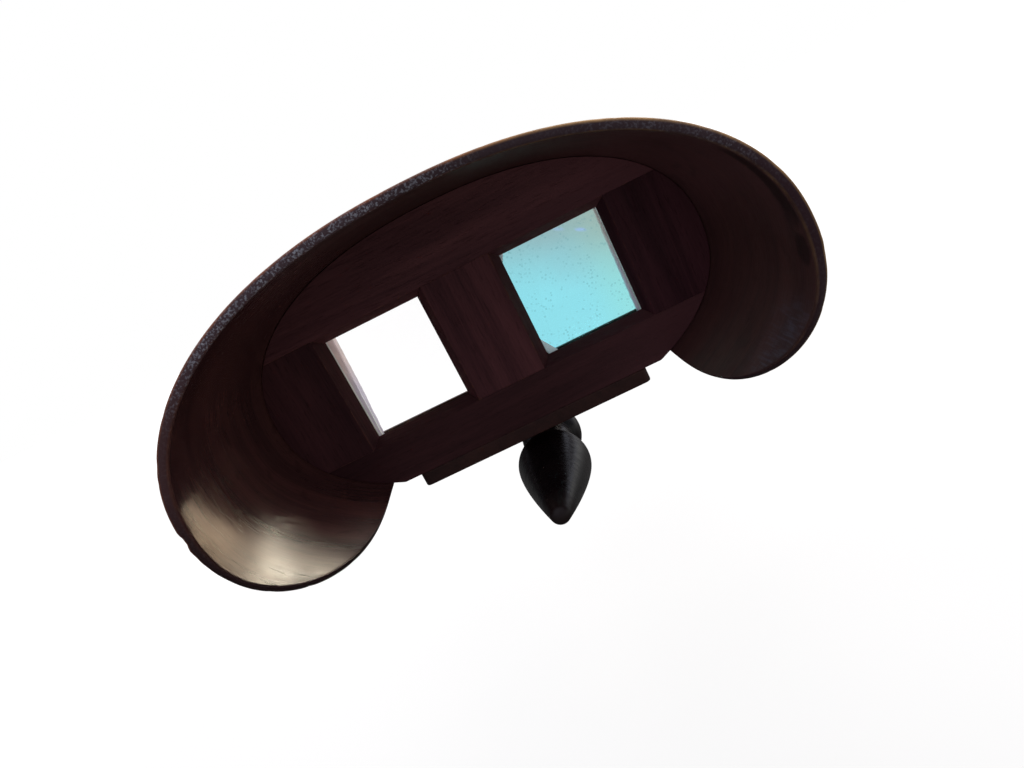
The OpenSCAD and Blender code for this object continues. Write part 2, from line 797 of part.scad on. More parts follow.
// A hairpin wire that stands beside the card: two legs and a round bow
module card_wire(side, row) {
    leg_h = wire_h - wire_spread / 2 - wire_d / 2;
    color(steel) translate([side * wire_x, card_at + row * wire_y, bar_top]) {
        for (leg = [-1, 1]) {
            translate([leg * wire_spread / 2, 0, -wire_hole_d])
                cylinder(d = wire_d, h = wire_hole_d + leg_h, $fn = 32);
        }
        translate([0, 0, leg_h]) rotate([90, 0, 0]) rotate_extrude(angle = 180)
            translate([wire_spread / 2, 0]) circle(d = wire_d, $fn = 32);
    }
}

module left_front_wire() {
    card_wire(-1, -1);
}

module left_back_wire() {
    card_wire(-1, 1);
}

module right_front_wire() {
    card_wire(1, -1);
}

module right_back_wire() {
    card_wire(1, 1);
}

// The spring's small screw enters the bar's rear face
module at_spring_screw() {
    translate([0, bar_back + spring_t, spring_screw_z]) rotate([-90, 0, 0])
        scale(spring_screw_size) children();
}

module spring_screw() {
    color(brass) at_spring_screw() wood_screw(spring_screw_l / spring_screw_size);
}

// An angled leaf: its foot on the bar's rear face, its tongue under the shaft
module slide_spring() {
    foot_low = bar_low + spring_edge;
    tongue_low = spring_top - spring_t;
    tongue_y = bar_back - spring_l;
    foot_y = bar_back + spring_t;
    color(brass) difference() {
        fin(spring_w) polygon([
            [tongue_y, spring_top], [foot_y, spring_top], [foot_y, foot_low],
            [bar_back, foot_low], [bar_back, tongue_low], [tongue_y, tongue_low]
        ]);
        at_spring_screw() screw_hole(spring_screw_l / spring_screw_size);
    }
}

stand() hood();
stand() hood_nails();
stand() top_rail();
stand() bottom_rail();
stand() left_stile();
stand() centre_stile();
stand() right_stile();
stand() left_lens();
stand() right_lens();
stand() left_top_bead();
stand() left_bottom_bead();
stand() left_inner_bead();
stand() left_outer_bead();
stand() right_top_bead();
stand() right_bottom_bead();
stand() right_inner_bead();
stand() right_outer_bead();
stand() bead_pins();
stand() base_board();
stand() board_screws();
stand() shaft();
stand() shaft_screws();
stand() stop_stud();
stand() hinge_bracket();
stand() bracket_screws();
stand() hinge_pin();
stand() handle_ferrule();
stand() handle_grip();
stand() card_bar();
stand() left_front_wire();
stand() left_back_wire();
stand() right_front_wire();
stand() right_back_wire();
stand() slide_spring();
stand() spring_screw();
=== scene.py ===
"""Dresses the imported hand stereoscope: its wood, glass and metal, the studio and the camera.

Everything is in metres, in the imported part's own frame: X to the viewer's right, Y away from
the eyes along the shaft, Z up. Places that a maker would measure from the midpoint between the
two eye openings are given in millimetres and pass through spot().
"""

import logging
import math
from dataclasses import dataclass
from enum import Enum
from typing import Any, Iterable, Mapping, Protocol, Sequence

import bmesh
import bpy
import numpy as np
from mathutils import Matrix, Vector


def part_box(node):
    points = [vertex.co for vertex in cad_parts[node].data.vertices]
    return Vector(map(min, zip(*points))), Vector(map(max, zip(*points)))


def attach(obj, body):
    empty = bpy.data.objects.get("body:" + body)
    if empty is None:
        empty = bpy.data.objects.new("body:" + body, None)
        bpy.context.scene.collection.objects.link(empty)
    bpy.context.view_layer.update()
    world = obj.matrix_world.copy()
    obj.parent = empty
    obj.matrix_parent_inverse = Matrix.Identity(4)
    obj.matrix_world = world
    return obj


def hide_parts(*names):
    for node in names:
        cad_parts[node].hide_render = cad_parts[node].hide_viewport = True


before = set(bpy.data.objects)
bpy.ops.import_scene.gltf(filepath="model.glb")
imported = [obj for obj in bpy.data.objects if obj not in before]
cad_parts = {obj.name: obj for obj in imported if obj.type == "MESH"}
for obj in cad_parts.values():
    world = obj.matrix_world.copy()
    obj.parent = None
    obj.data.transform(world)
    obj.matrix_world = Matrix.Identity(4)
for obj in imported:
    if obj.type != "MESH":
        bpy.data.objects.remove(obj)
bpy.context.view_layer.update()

LOG = logging.getLogger("stereoscope")
MM = 0.001
BOARD_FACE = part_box("top_rail")[0].y
LENS_AXIS = (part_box("left_stile")[0].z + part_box("left_stile")[1].z) / 2

SHARP = math.radians(50)
MERGE = 1e-6

Colour = tuple[float, float, float, float]
Point = tuple[float, float, float]

WHITE: Colour = (1.0, 1.0, 1.0, 1.0)


def spot(x: float, y: float, z: float) -> Vector:
    """Gives a point that is measured from the midpoint between the eye openings.

    Args:
        x: Millimetres to the viewer's right.
        y: Millimetres away from the eyes, from the lens board's face.
        z: Millimetres above the lens axis.

    Returns:
        The point in metres, in the part's frame.
    """
    return Vector((x * MM, BOARD_FACE + y * MM, LENS_AXIS + z * MM))


def tone(red: int, green: int, blue: int) -> Colour:
    """Turns a colour as a screen shows it into the linear values that shaders use.

    Args:
        red: Red from 0 to 255.
        green: Green from 0 to 255.
        blue: Blue from 0 to 255.

    Returns:
        Linear red, green and blue, with full alpha.
    """
    channels = [c / 255 for c in (red, green, blue)]
    linear = [c / 12.92 if c <= 0.04045 else ((c + 0.055) / 1.055) ** 2.4 for c in channels]
    return (linear[0], linear[1], linear[2], 1.0)


class Wiring:
    """Adds nodes to a shader or geometry tree and joins their sockets."""

    def __init__(self, tree: bpy.types.NodeTree) -> None:
        """Starts on an existing tree."""
        self.tree = tree

    def node(
        self,
        kind: str,
        settings: Mapping[str, Any] | None = None,
        inputs: Mapping[str | int, Any] | None = None,
    ) -> bpy.types.Node:
        """Makes any node: its settings first, then the values or links of its sockets.

        Args:
            kind: Blender's type name of the node.
            settings: Properties of the node.
            inputs: Values, terms or lists of terms by socket name, identifier or number.

        Returns:
            The new node.
        """
        node = self.tree.nodes.new(kind)
        for key, value in (settings or {}).items():
            setattr(node, key, value)
        for key, value in (inputs or {}).items():
            socket = self._find(node.inputs, key)
            for each in value if isinstance(value, list) else [value]:
                if isinstance(each, Term):
                    self.tree.links.new(each.socket, socket)
                else:
                    socket.default_value = each
        return node

    def term(
        self,
        kind: str,
        settings: Mapping[str, Any] | None = None,
        inputs: Mapping[str | int, Any] | None = None,
        output: str | int = 0,
    ) -> "Term":
        """Makes a node and gives one of its outputs.

        Args:
            kind: Blender's type name of the node.
            settings: Properties of the node.
            inputs: Values or terms by socket.
            output: Name, identifier or number of the wanted output.

        Returns:
            The output as a term.
        """
        return Term(self, self._find(self.node(kind, settings, inputs).outputs, output))

    def axes(self, vector: "Term") -> list["Term"]:
        """Splits a vector into its three numbers."""
        node = self.node("ShaderNodeSeparateXYZ", None, {"Vector": vector})
        return [Term(self, s) for s in node.outputs]

    def blend(self, share: "Term | float", first: Any, second: Any) -> "Term":
        """Mixes two colours.

        Args:
            share: How much of the second shows.
            first: A colour or term.
            second: A colour or term.

        Returns:
            The mixed colour.
        """
        return self.term(
            "ShaderNodeMix",
            {"data_type": "RGBA"},
            {"Factor_Float": share, "A_Color": first, "B_Color": second},
            "Result_Color",
        )

    @staticmethod
    def _find(sockets: Any, key: str | int) -> bpy.types.NodeSocket:
        """Finds a socket by number, identifier or name.

        Args:
            sockets: The node's inputs or outputs.
            key: What to look for.

        Returns:
            The socket.
        """
        if isinstance(key, int):
            return sockets[key]
        return next(s for s in sockets if key in (s.identifier, s.name))


class Term:
    """A socket that takes part in Python arithmetic, each step adding a Math node."""

    def __init__(self, wiring: Wiring, socket: bpy.types.NodeSocket) -> None:
        """Wraps one output socket."""
        self.wiring = wiring
        self.socket = socket

    def _math(self, operation: str, first: Any, second: Any) -> "Term":
        """Adds one Math node."""
        return self.wiring.term("ShaderNodeMath", {"operation": operation}, {0: first, 1: second})

    def __add__(self, other: Any) -> "Term":
        """Adds a value or term."""
        return self._math("ADD", self, other)

    __radd__ = __add__

    def __sub__(self, other: Any) -> "Term":
        """Takes away a value or term."""
        return self._math("SUBTRACT", self, other)

    def __rsub__(self, other: Any) -> "Term":
        """Takes this term from a value."""
        return self._math("SUBTRACT", other, self)

    def __mul__(self, other: Any) -> "Term":
        """Multiplies by a value or term."""
        return self._math("MULTIPLY", self, other)

    __rmul__ = __mul__

    def atleast(self, other: Any) -> "Term":
        """Gives the higher of this and another."""
        return self._math("MAXIMUM", self, other)

    def step(self, low: float, high: float) -> "Term":
        """Rises smoothly from 0 at low to 1 at high, or falls where low is the higher.

        Args:
            low: Where it is 0.
            high: Where it is 1.

        Returns:
            The step.
        """
        return self.wiring.term(
            "ShaderNodeMapRange",
            {"interpolation_type": "SMOOTHSTEP"},
            {"Value": self, "From Min": low, "From Max": high},
        )

    def band(self, start: float, full: float, last: float, end: float) -> "Term":
        """Rises from start to full, stays 1, and falls from last to end."""
        return self.step(start, full) * self.step(end, last)


class Paint(Wiring):
    """One procedural material in the making."""

    NOISE_ROUGHNESS = 0.6

    def __init__(self, name: str) -> None:
        """Starts an empty material with that name.

        Args:
            name: The material's name.
        """
        self.material = bpy.data.materials.new(name)
        self.material.use_nodes = True
        super().__init__(self.material.node_tree)
        self.tree.nodes.clear()

    def place(self) -> Term:
        """Gives the point in Object coordinates."""
        return self.term("ShaderNodeTexCoord", output="Object")

    def mark(self, name: str) -> Term:
        """Reads a mesh attribute as a number."""
        return self.term("ShaderNodeAttribute", {"attribute_name": name}, output="Fac")

    def stretch(
        self, vector: Term, scale: Point, shift: Point = (0, 0, 0), turn: Point = (0, 0, 0)
    ) -> Term:
        """Scales, turns and shifts coordinates.

        Args:
            vector: The coordinates.
            scale: Factor along each axis.
            shift: Added afterwards.
            turn: Angles about each axis, in radians.

        Returns:
            The new coordinates.
        """
        return self.term(
            "ShaderNodeMapping",
            None,
            {"Vector": vector, "Scale": scale, "Location": shift, "Rotation": turn},
        )

    def noise(
        self, vector: Term, scale: float = 1.0, detail: float = 2.0, warp: float = 0.0
    ) -> Term:
        """Makes soft noise between 0 and 1.

        Args:
            vector: The coordinates.
            scale: Cells for each unit of them.
            detail: Octaves of finer noise.
            warp: How far the noise bends itself.

        Returns:
            The noise.
        """
        return self.term(
            "ShaderNodeTexNoise",
            None,
            {
                "Vector": vector,
                "Scale": scale,
                "Detail": detail,
                "Roughness": self.NOISE_ROUGHNESS,
                "Distortion": warp,
            },
        )

    def cells(self, vector: Term, scale: float) -> Term:
        """Gives the distance to the nearest of scattered points, in their own spacing."""
        return self.term("ShaderNodeTexVoronoi", None, {"Vector": vector, "Scale": scale})

    def bump(self, height: Term, distance: float, strength: float = 1.0) -> Term:
        """Turns a height into a normal.

        Args:
            height: The relief, from 0 to 1.
            distance: Metres that a height of 1 stands for.
            strength: Share of the effect.

        Returns:
            The normal.
        """
        return self.term(
            "ShaderNodeBump", None, {"Height": height, "Distance": distance, "Strength": strength}
        )

    def body(self, inputs: Mapping[str, Any]) -> Term:
        """Makes the main shader from its sockets."""
        return self.term("ShaderNodeBsdfPrincipled", None, inputs)

    def parted(self, share: Term, first: Term, second: Term) -> Term:
        """Mixes two shaders, the second where the share is 1."""
        return self.term("ShaderNodeMixShader", None, {0: share, 1: first, 2: second})

    def done(self, shader: Term) -> bpy.types.Material:
        """Joins the shader to the output and gives the material."""
        self.node("ShaderNodeOutputMaterial", None, {"Surface": shader})
        return self.material


class Grain(Enum):
    """The way the grain runs, as an axis of the coordinates that the wood reads."""

    ALONG_X = 0
    ALONG_Y = 1
    ALONG_Z = 2

    def lengthwise(self, along: float, across: float) -> Point:
        """Gives scales that draw a pattern out along the grain.

        Args:
            along: Cells for each unit along the grain.
            across: Cells for each unit across it.

        Returns:
            The scale of each axis.
        """
        scale = [across, across, across]
        scale[self.value] = along
        return (scale[0], scale[1], scale[2])


@dataclass(frozen=True)
class WoodFinish:
    """Stained and varnished wood with ribbon figure, fibres, pores and worn arrises."""

    name: str
    grain: Grain
    dark: Colour = tone(50, 27, 31)
    light: Colour = tone(88, 51, 53)
    worn: Colour = tone(118, 74, 52)
    gloss: float = 0.14
    roughness: float = 0.44
    shift: Point = (0.0, 0.0, 0.0)
    arris_wear: float = 0.55
    # The fade fields paint light: the wood turns towards the pale tone on its right (+X) side,
    # lifting that side where it lies in shade.
    fade: float = 0.0
    painted_lift_width: float = 0.07
    pale: Colour = tone(146, 92, 96)
    pore: Colour = tone(20, 10, 9)
    sheen: Colour = tone(255, 226, 214)
    relief: float = 0.14 * MM
    scuff_scale: float = 420.0
    figure_run: tuple[float, float] = (7, 95)
    fibre_run: tuple[float, float] = (70, 1500)
    pore_run: tuple[float, float] = (190, 2600)

    def material(self) -> bpy.types.Material:
        """Builds the wood from Object coordinates.

        Returns:
            The material.
        """
        paint = Paint(self.name)
        figure, fibre, pores = self.fibres(paint, paint.place())
        colour = self.colour(paint, figure, fibre, pores)
        # Painted light: paler towards the right, where the piece lies in the hood's shade.
        if self.fade:
            right, _, _ = paint.axes(paint.place())
            painted_lift = right.step(0.0, self.painted_lift_width) * self.fade
            colour = paint.blend(painted_lift, colour, self.pale)
        scuffs = paint.noise(paint.place(), self.scuff_scale, 3.0)
        wear = paint.mark("arris") * scuffs.step(0.42, 0.72) * self.arris_wear
        return paint.done(
            paint.body(
                {
                    "Base Color": paint.blend(wear, colour, self.worn),
                    "Roughness": self.roughness + fibre * 0.16 + pores * 0.18 - wear * 0.08,
                    "Specular IOR Level": self.gloss,
                    "Specular Tint": self.sheen,
                    "Normal": paint.bump(fibre * 0.5 - pores * 0.7, self.relief, 0.5),
                }
            )
        )

    def fibres(self, paint: Paint, coords: Term) -> tuple[Term, Term, Term]:
        """Draws the wood's own pattern.

        Args:
            paint: The material.
            coords: Coordinates in metres, one of them along the grain.

        Returns:
            Broad figure, fine fibres and open pores, each from 0 to 1.
        """
        runs = (self.figure_run, self.fibre_run, self.pore_run)
        drawn = [paint.stretch(coords, self.grain.lengthwise(*run), self.shift) for run in runs]
        figure = paint.noise(drawn[0], detail=3.0, warp=0.7).step(0.28, 0.74)
        fibre = paint.noise(drawn[1], detail=4.0, warp=0.2).step(0.25, 0.75)
        pores = paint.noise(drawn[2], detail=1.0).step(0.6, 0.7)
        return figure, fibre, pores

    def colour(self, paint: Paint, figure: Term, fibre: Term, pores: Term) -> Term:
        """Mixes the stained colour from figure, fibres and pores."""
        base = paint.blend(figure * 0.72 + fibre * 0.28, self.dark, self.light)
        return paint.blend(pores * 0.24, base, self.pore)


@dataclass(frozen=True)
class BentWoodFinish(WoodFinish):
    """The hood's bent shell: its grain follows the bend, and its rim is worn and chipped."""

    # Pale specks on the rim: partly bared grain, partly painted glints.
    bare_and_glint: Colour = tone(188, 190, 198)
    arris: Colour = tone(150, 84, 48)
    pale_arris: Colour = tone(190, 146, 92)
    stain: Colour = tone(36, 18, 21)
    # A painted reflection: the tinted lens mirrored as bluish colour low in the right cheek.
    painted_cyan_reflection: Colour = tone(112, 112, 128)
    wall_sheen: Colour = tone(255, 238, 216)
    wall_relief: float = 0.12 * MM
    hair_run: Point = (230, 2300, 1)
    streak_run: Point = (1500, 150, 1)
    crumb_scale: float = 1500.0
    patch_scale: float = 95.0
    stain_scale: float = 90.0
    rim_shades: tuple[tuple[float, float, Colour], ...] = (
        (0.25, 0.33, tone(64, 47, 50)),
        (0.48, 0.54, tone(84, 66, 70)),
        (0.62, 0.72, tone(74, 46, 45)),
        (0.73, 0.8, tone(42, 16, 16)),
    )
    rim_end: Colour = tone(50, 26, 31)

    def material(self) -> bpy.types.Material:
        """Builds the wood from the shell's own unrolled map and its marks.

        Returns:
            The material.
        """
        paint = Paint(self.name)
        coords = paint.term("ShaderNodeUVMap", {"uv_map": "bend"})
        figure, fibre, pores = self.fibres(paint, coords)
        colour = self.colour(paint, figure, fibre, pores)
        across = paint.mark("across")
        around = paint.mark("around")
        # Painted light: a paler band over the upper right of the shell, lifting the wall where it
        # lies in shade.
        colour = paint.blend(around.band(0.22, 0.29, 0.34, 0.42) * 0.3, colour, self.pale)
        rim = across.band(-0.06, 0.06, 0.94, 1.06)
        colour = self.aged(paint, coords, across, colour)
        dulled = around.step(0.7, 0.45)
        hairs = paint.noise(paint.stretch(coords, self.hair_run), detail=3.0, warp=0.3)
        hairs = hairs.step(0.45, 0.68)
        wall = paint.body(
            {
                "Base Color": colour,
                "Roughness": self.roughness + dulled * 0.3 + hairs * 0.11 + pores * 0.05,
                "Specular IOR Level": self.gloss,
                "Specular Tint": self.wall_sheen,
                "Normal": paint.bump(
                    hairs * 0.8 + fibre * 0.3 - pores * 0.5, self.wall_relief, 0.06
                ),
            }
        )
        edge = self.rim_coat(paint, across, around, fibre)
        return paint.done(paint.parted(rim, wall, edge))

    def rim_coat(self, paint: Paint, across: Term, around: Term, fibre: Term) -> Term:
        """Coats the rim: stain worn through at the upper left, with pale specks that are partly
        bared grain and partly painted glints, and rubbed arrises.

        Args:
            paint: The material.
            across: The mark that runs from 0 at the inner arris to 1 at the outer one.
            around: The share of the rim's length from its right end.
            fibre: The wood's fibres.

        Returns:
            The rim's shader.
        """
        crumbs = paint.noise(paint.place(), self.crumb_scale).step(0.47, 0.68)
        patches = paint.noise(paint.place(), self.patch_scale, 3.0).step(0.36, 0.62)
        upper_left = around.band(0.44, 0.5, 0.64, 0.715)
        upper_right = around.band(0.26, 0.3, 0.31, 0.42) * 0.16
        # Pale specks: partly bared grain, partly painted glints on the granular rim.
        bare_and_glint = crumbs * (0.5 + patches * 0.5) * (0.03 + upper_left * 0.8 + upper_right)
        colour: Any = self.rim_end
        for start, full, shade in self.rim_shades:
            colour = paint.blend(around.step(start, full), colour, shade)
        colour = paint.blend(bare_and_glint, colour, self.bare_and_glint)
        outer = across.step(0.66, 0.95) * (0.45 + patches * 0.5)
        inner = across.step(0.2, 0.02) * (0.06 + patches * 0.2)
        inner = inner * around.band(0.1, 0.26, 0.72, 0.82)
        rubbed = paint.blend(around.step(0.38, 0.5), self.pale_arris, self.arris)
        colour = paint.blend(outer.atleast(inner), colour, rubbed)
        return paint.body(
            {
                "Base Color": colour,
                "Roughness": 0.55 + fibre * 0.1,
                "Specular IOR Level": 0.2,
                "Normal": paint.bump(bare_and_glint, self.wall_relief, 0.6),
            }
        )

    def aged(self, paint: Paint, coords: Term, across: Term, colour: Term) -> Term:
        """Ages the inside with old dark stains, and paints a streaky bluish reflection of the
        tinted lens low in the right cheek.

        Args:
            paint: The material.
            coords: The shell's unrolled map.
            across: The mark that tells inside, rim and outside apart.
            colour: The clean wood's colour.

        Returns:
            The aged colour.
        """
        arc, depth, _ = paint.axes(coords)
        streaks = paint.noise(paint.stretch(coords, self.streak_run)).step(0.42, 0.7)
        # Painted reflection: the tinted lens mirrored as streaky bluish colour low in the right
        # cheek.
        painted_cyan_reflection = arc.band(0.004, 0.012, 0.022, 0.032) * depth.step(0.04, 0.054)
        painted_cyan_reflection = painted_cyan_reflection * across.step(0.0, -0.3)
        colour = paint.blend(self.stains(paint, coords, across), colour, self.stain)
        return paint.blend(painted_cyan_reflection * (0.06 + streaks * 0.32), colour, self.painted_cyan_reflection)

    def stains(self, paint: Paint, coords: Term, across: Term) -> Term:
        """Marks old dark stains inside the right cheek and, fainter, elsewhere inside.

        Args:
            paint: The material.
            coords: The shell's unrolled map.
            across: The mark that tells inside, rim and outside apart.

        Returns:
            The stain's strength.
        """
        arc, _, _ = paint.axes(coords)
        ragged = paint.noise(coords, self.stain_scale, 4.0, 0.8)
        down = across + (ragged - 0.5) * 2.4
        band = (arc + (ragged - 0.5) * 0.012).step(0.044, 0.049)
        band = band * arc.step(0.071, 0.064) * down.step(-3.1, -2.4)
        far = (arc - 0.04) * 260.0
        near = (down + 1.5) * 0.9
        blotch = (far * far + near * near).step(1.2, 0.5)
        loose = ragged.step(0.56, 0.66) * 0.25
        return across.step(-0.1, -0.35) * (band * 0.85).atleast(blotch * 0.8).atleast(loose)


@dataclass(frozen=True)
class LacquerFinish:
    """Black lacquer over turned wood, rubbed in short strokes and worn through at the tip."""

    name: str = "black_lacquer"
    black: Colour = tone(13, 9, 11)
    plum: Colour = tone(22, 12, 14)
    worn: Colour = tone(36, 21, 19)
    relief: float = 0.08 * MM
    stroke_run: Point = (150, 480, 1)
    stroke_turn: Point = (0, 0, 0.6)
    ring_run: Point = (2, 2600, 1)
    cloud_scale: float = 70.0
    speck_scale: float = 1300.0
    worn_from: float = 0.104
    worn_to: float = 0.116

    def material(self) -> bpy.types.Material:
        """Builds the lacquer from the grip's own map of turn and reach.

        Returns:
            The material.
        """
        paint = Paint(self.name)
        coords = paint.term("ShaderNodeUVMap", {"uv_map": "turned"})
        reach = paint.mark("reach")
        clouds = paint.noise(paint.place(), self.cloud_scale, 3.0)
        aslant = paint.stretch(coords, self.stroke_run, turn=self.stroke_turn)
        strokes = paint.noise(aslant, detail=3.0).step(0.35, 0.7)
        rings = paint.noise(paint.stretch(coords, self.ring_run))
        specks = paint.noise(paint.place(), self.speck_scale).step(0.62, 0.72)
        tip = (reach + clouds * 0.012).step(self.worn_from, self.worn_to)
        collar = reach.band(0.017, 0.02, 0.02, 0.0235) * clouds.step(0.5, 0.75)
        rubbed = (tip * 0.75).atleast(collar * 0.5)
        colour = paint.blend(clouds.step(0.35, 0.7), self.black, self.plum)
        colour = paint.blend(rubbed, colour, self.worn)
        height = strokes * 0.6 + rings * 0.3 - specks * 0.5
        return paint.done(
            paint.body(
                {
                    "Base Color": colour,
                    "Roughness": 0.2 + strokes * 0.14 + rubbed * 0.25 + specks * 0.1,
                    "Specular IOR Level": 0.3,
                    "Normal": paint.bump(height, self.relief, 0.6),
                }
            )
        )


class Tint(Enum):
    """What a lens lets through."""

    CLEAR = "clear_glass"
    CYAN = "tinted_glass"


@dataclass(frozen=True)
class GlassFinish:
    """A polished half lens with ground edges, clear or with a pale cyan film."""

    tint: Tint
    outer_x: float = 49.15 * MM
    broken: Colour = tone(236, 200, 202)
    pale: Colour = tone(255, 236, 236)
    pink: Colour = tone(250, 222, 218)
    violet: Colour = tone(222, 212, 236)
    # The colour of a painted highlight line along the bevel's very edge.
    painted_edge_glint: Colour = tone(250, 255, 255)
    # Two painted gleams, pale blue highlights in the film: place, strength and size.
    sky: Colour = tone(152, 186, 230)
    gleams: tuple[Point, ...] = ((42.0 * MM, 13.8 * MM, 0.8), (35.7 * MM, 17.1 * MM, 0.4))
    gleam_l: float = 2.3 * MM
    gleam_h: float = 0.7 * MM
    speck: Colour = tone(92, 150, 158)
    low_cyan: Colour = tone(140, 219, 231)
    high_cyan: Colour = tone(144, 173, 176)
    low_green: Colour = tone(149, 219, 212)
    high_green: Colour = tone(156, 183, 170)
    middle_x: float = 0.032
    index: float = 1.52
    ground_clearness: float = 0.52
    clear_bevel: float = 1.9 * MM
    tinted_bevel: float = 1.05 * MM
    grit_scale: float = 1800.0
    grit_relief: float = 0.06 * MM
    ragged_scale: float = 300.0
    cloud_scale: float = 55.0
    speck_scale: float = 700.0
    speck_patch_scale: float = 160.0

    def material(self) -> bpy.types.Material:
        """Builds the polished faces and the ground ones, told apart by a mark.

        Returns:
            The material.
        """
        paint = Paint(self.tint.value)
        colour: Any = self.film(paint) if self.tint is Tint.CYAN else WHITE
        polished = paint.body(
            {"Base Color": colour, "Roughness": 0.0, "IOR": self.index, "Transmission Weight": 1.0}
        )
        grit = paint.noise(paint.place(), self.grit_scale)
        bevel, frost = self.bevel(paint)
        chipped = paint.blend(grit.step(0.3, 0.7), self.broken, self.pale)
        ground = paint.body(
            {
                "Base Color": paint.blend(bevel, chipped, frost),
                "Roughness": 0.5 + grit * 0.2,
                "IOR": self.index,
                "Transmission Weight": self.ground_clearness,
                "Normal": paint.bump(grit, self.grit_relief, 0.5),
            }
        )
        return paint.done(paint.parted(paint.mark("ground").atleast(bevel), polished, ground))

    def bevel(self, paint: Paint) -> tuple[Term, Term]:
        """Frosts a narrow bevel along the lens's outer edge, set slightly askew, with a painted
        highlight line at its very edge.

        Args:
            paint: The material.

        Returns:
            Where the bevel is, and its colour.
        """
        x, _, z = paint.axes(paint.place())
        rise = z - LENS_AXIS
        if self.tint is Tint.CLEAR:
            inward, width = x + self.outer_x, rise * 0.045 + self.clear_bevel
        else:
            inward, width = self.outer_x - x, rise * -0.015 + self.tinted_bevel
        ragged = paint.noise(paint.place(), self.ragged_scale) - 0.5
        reach = inward - width + ragged * (0.5 * MM)
        frost = paint.blend(rise.step(0.012, -0.004), self.pink, self.violet)
        # Painted highlight: a thin near-white line at the very edge of the bevel.
        frost = paint.blend(inward.step(0.7 * MM, 0.5 * MM), frost, self.painted_edge_glint)
        return reach.step(0.1 * MM, -0.1 * MM), frost

    def film(self, paint: Paint) -> Term:
        """Colours the film: cyan, greyer above, greener at the right, with specks and two painted
        gleams, highlights painted into its colour.

        Args:
            paint: The material.

        Returns:
            The film's colour.
        """
        x, _, z = paint.axes(paint.place())
        clouds = paint.noise(paint.place(), self.cloud_scale, 3.0)
        slope = (z - LENS_AXIS) * 0.86 + (x - self.middle_x) * 0.43
        rise = (slope + (clouds - 0.5) * 0.008).step(-0.006, 0.022)
        specks = paint.cells(paint.place(), self.speck_scale).step(0.32, 0.18)
        specks = specks * paint.noise(paint.place(), self.speck_patch_scale).step(0.42, 0.6)
        colour = paint.blend(rise, self.low_cyan, self.high_cyan)
        greener = paint.blend(rise, self.low_green, self.high_green)
        colour = paint.blend((x - self.middle_x).step(0.0, 0.018) * 0.6, colour, greener)
        # Painted highlights: two small pale blue gleams painted into the film's colour.
        for place_x, place_z, strength in self.gleams:
            right, up = x - place_x, z - (LENS_AXIS + place_z)
            along = (right * 0.9 - up * 0.44) * (1 / self.gleam_l)
            across = (right * 0.44 + up * 0.9) * (1 / self.gleam_h)
            painted_gleam = (along * along + across * across).step(1.0, 0.2)
            colour = paint.blend(painted_gleam * strength, colour, self.sky)
        return paint.blend(specks * 0.55, colour, self.speck)


@dataclass(frozen=True)
class MetalFinish:
    """Old metal with dulled patches and fine scratches."""

    name: str
    clean: Colour
    dull: Colour
    roughness: float
    metallic: float = 1.0
    relief: float = 0.04 * MM
    patch_scale: float = 160.0
    grit_scale: float = 2400.0
    scratch_run: Point = (900, 5200, 900)
    scratch_turn: Point = (0.4, 0.3, 0.7)

    def material(self) -> bpy.types.Material:
        """Builds the metal from Object coordinates.

        Returns:
            The material.
        """
        paint = Paint(self.name)
        patches = paint.noise(paint.place(), self.patch_scale, 4.0).step(0.38, 0.68)
        grit = paint.noise(paint.place(), self.grit_scale)
        scratch = paint.noise(
            paint.stretch(paint.place(), self.scratch_run, turn=self.scratch_turn)
        )
        colour = paint.blend(patches * 0.75 + grit * 0.25, self.clean, self.dull)
        return paint.done(
            paint.body(
                {
                    "Base Color": colour,
                    "Metallic": self.metallic - patches * 0.35,
                    "Roughness": self.roughness + patches * 0.2 + scratch * 0.12,
                    "Normal": paint.bump(grit * 0.4 + scratch * 0.5, self.relief, 0.5),
                }
            )
        )


class Finish(Protocol):
    """What every finish can do."""

    def material(self) -> bpy.types.Material:
        """Builds the material."""


class Workshop:
    """Keeps each finish's material, and puts finished meshes onto their bodies."""

    def __init__(self) -> None:
        """Starts with no material made."""
        self._made: dict[Finish, bpy.types.Material] = {}

    def finish(self, finish: Finish) -> bpy.types.Material:
        """Gives a finish's material, made at its first use.

        Args:
            finish: The finish.

        Returns:
            Its material.
        """
        if finish not in self._made:
            self._made[finish] = finish.material()
        return self._made[finish]

    def mount(
        self, piece: bpy.types.Object, finish: Finish, body: str, nodes: Iterable[str]
    ) -> bpy.types.Object:
        """Dresses a piece, lets it ride on its body and stand for its CAD nodes.

        Args:
            piece: The finished mesh object, at the origin.
            finish: The finish it gets.
            body: The body it moves with.
            nodes: The CAD nodes that it replaces.

        Returns:
            The same piece.
        """
        piece.data.materials.clear()
        piece.data.materials.append(self.finish(finish))
        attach(piece, body)
        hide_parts(*nodes)
        LOG.info("%s: %d faces on %s", piece.name, len(piece.data.polygons), body)
        return piece


def link(name: str, mesh: bpy.types.Mesh) -> bpy.types.Object:
    """Puts a mesh into the scene as an object at the origin.

    Args:
        name: The object's name.
        mesh: Its mesh.

    Returns:
        The object.
    """
    piece = bpy.data.objects.new(name, mesh)
    bpy.context.scene.collection.objects.link(piece)
    return piece


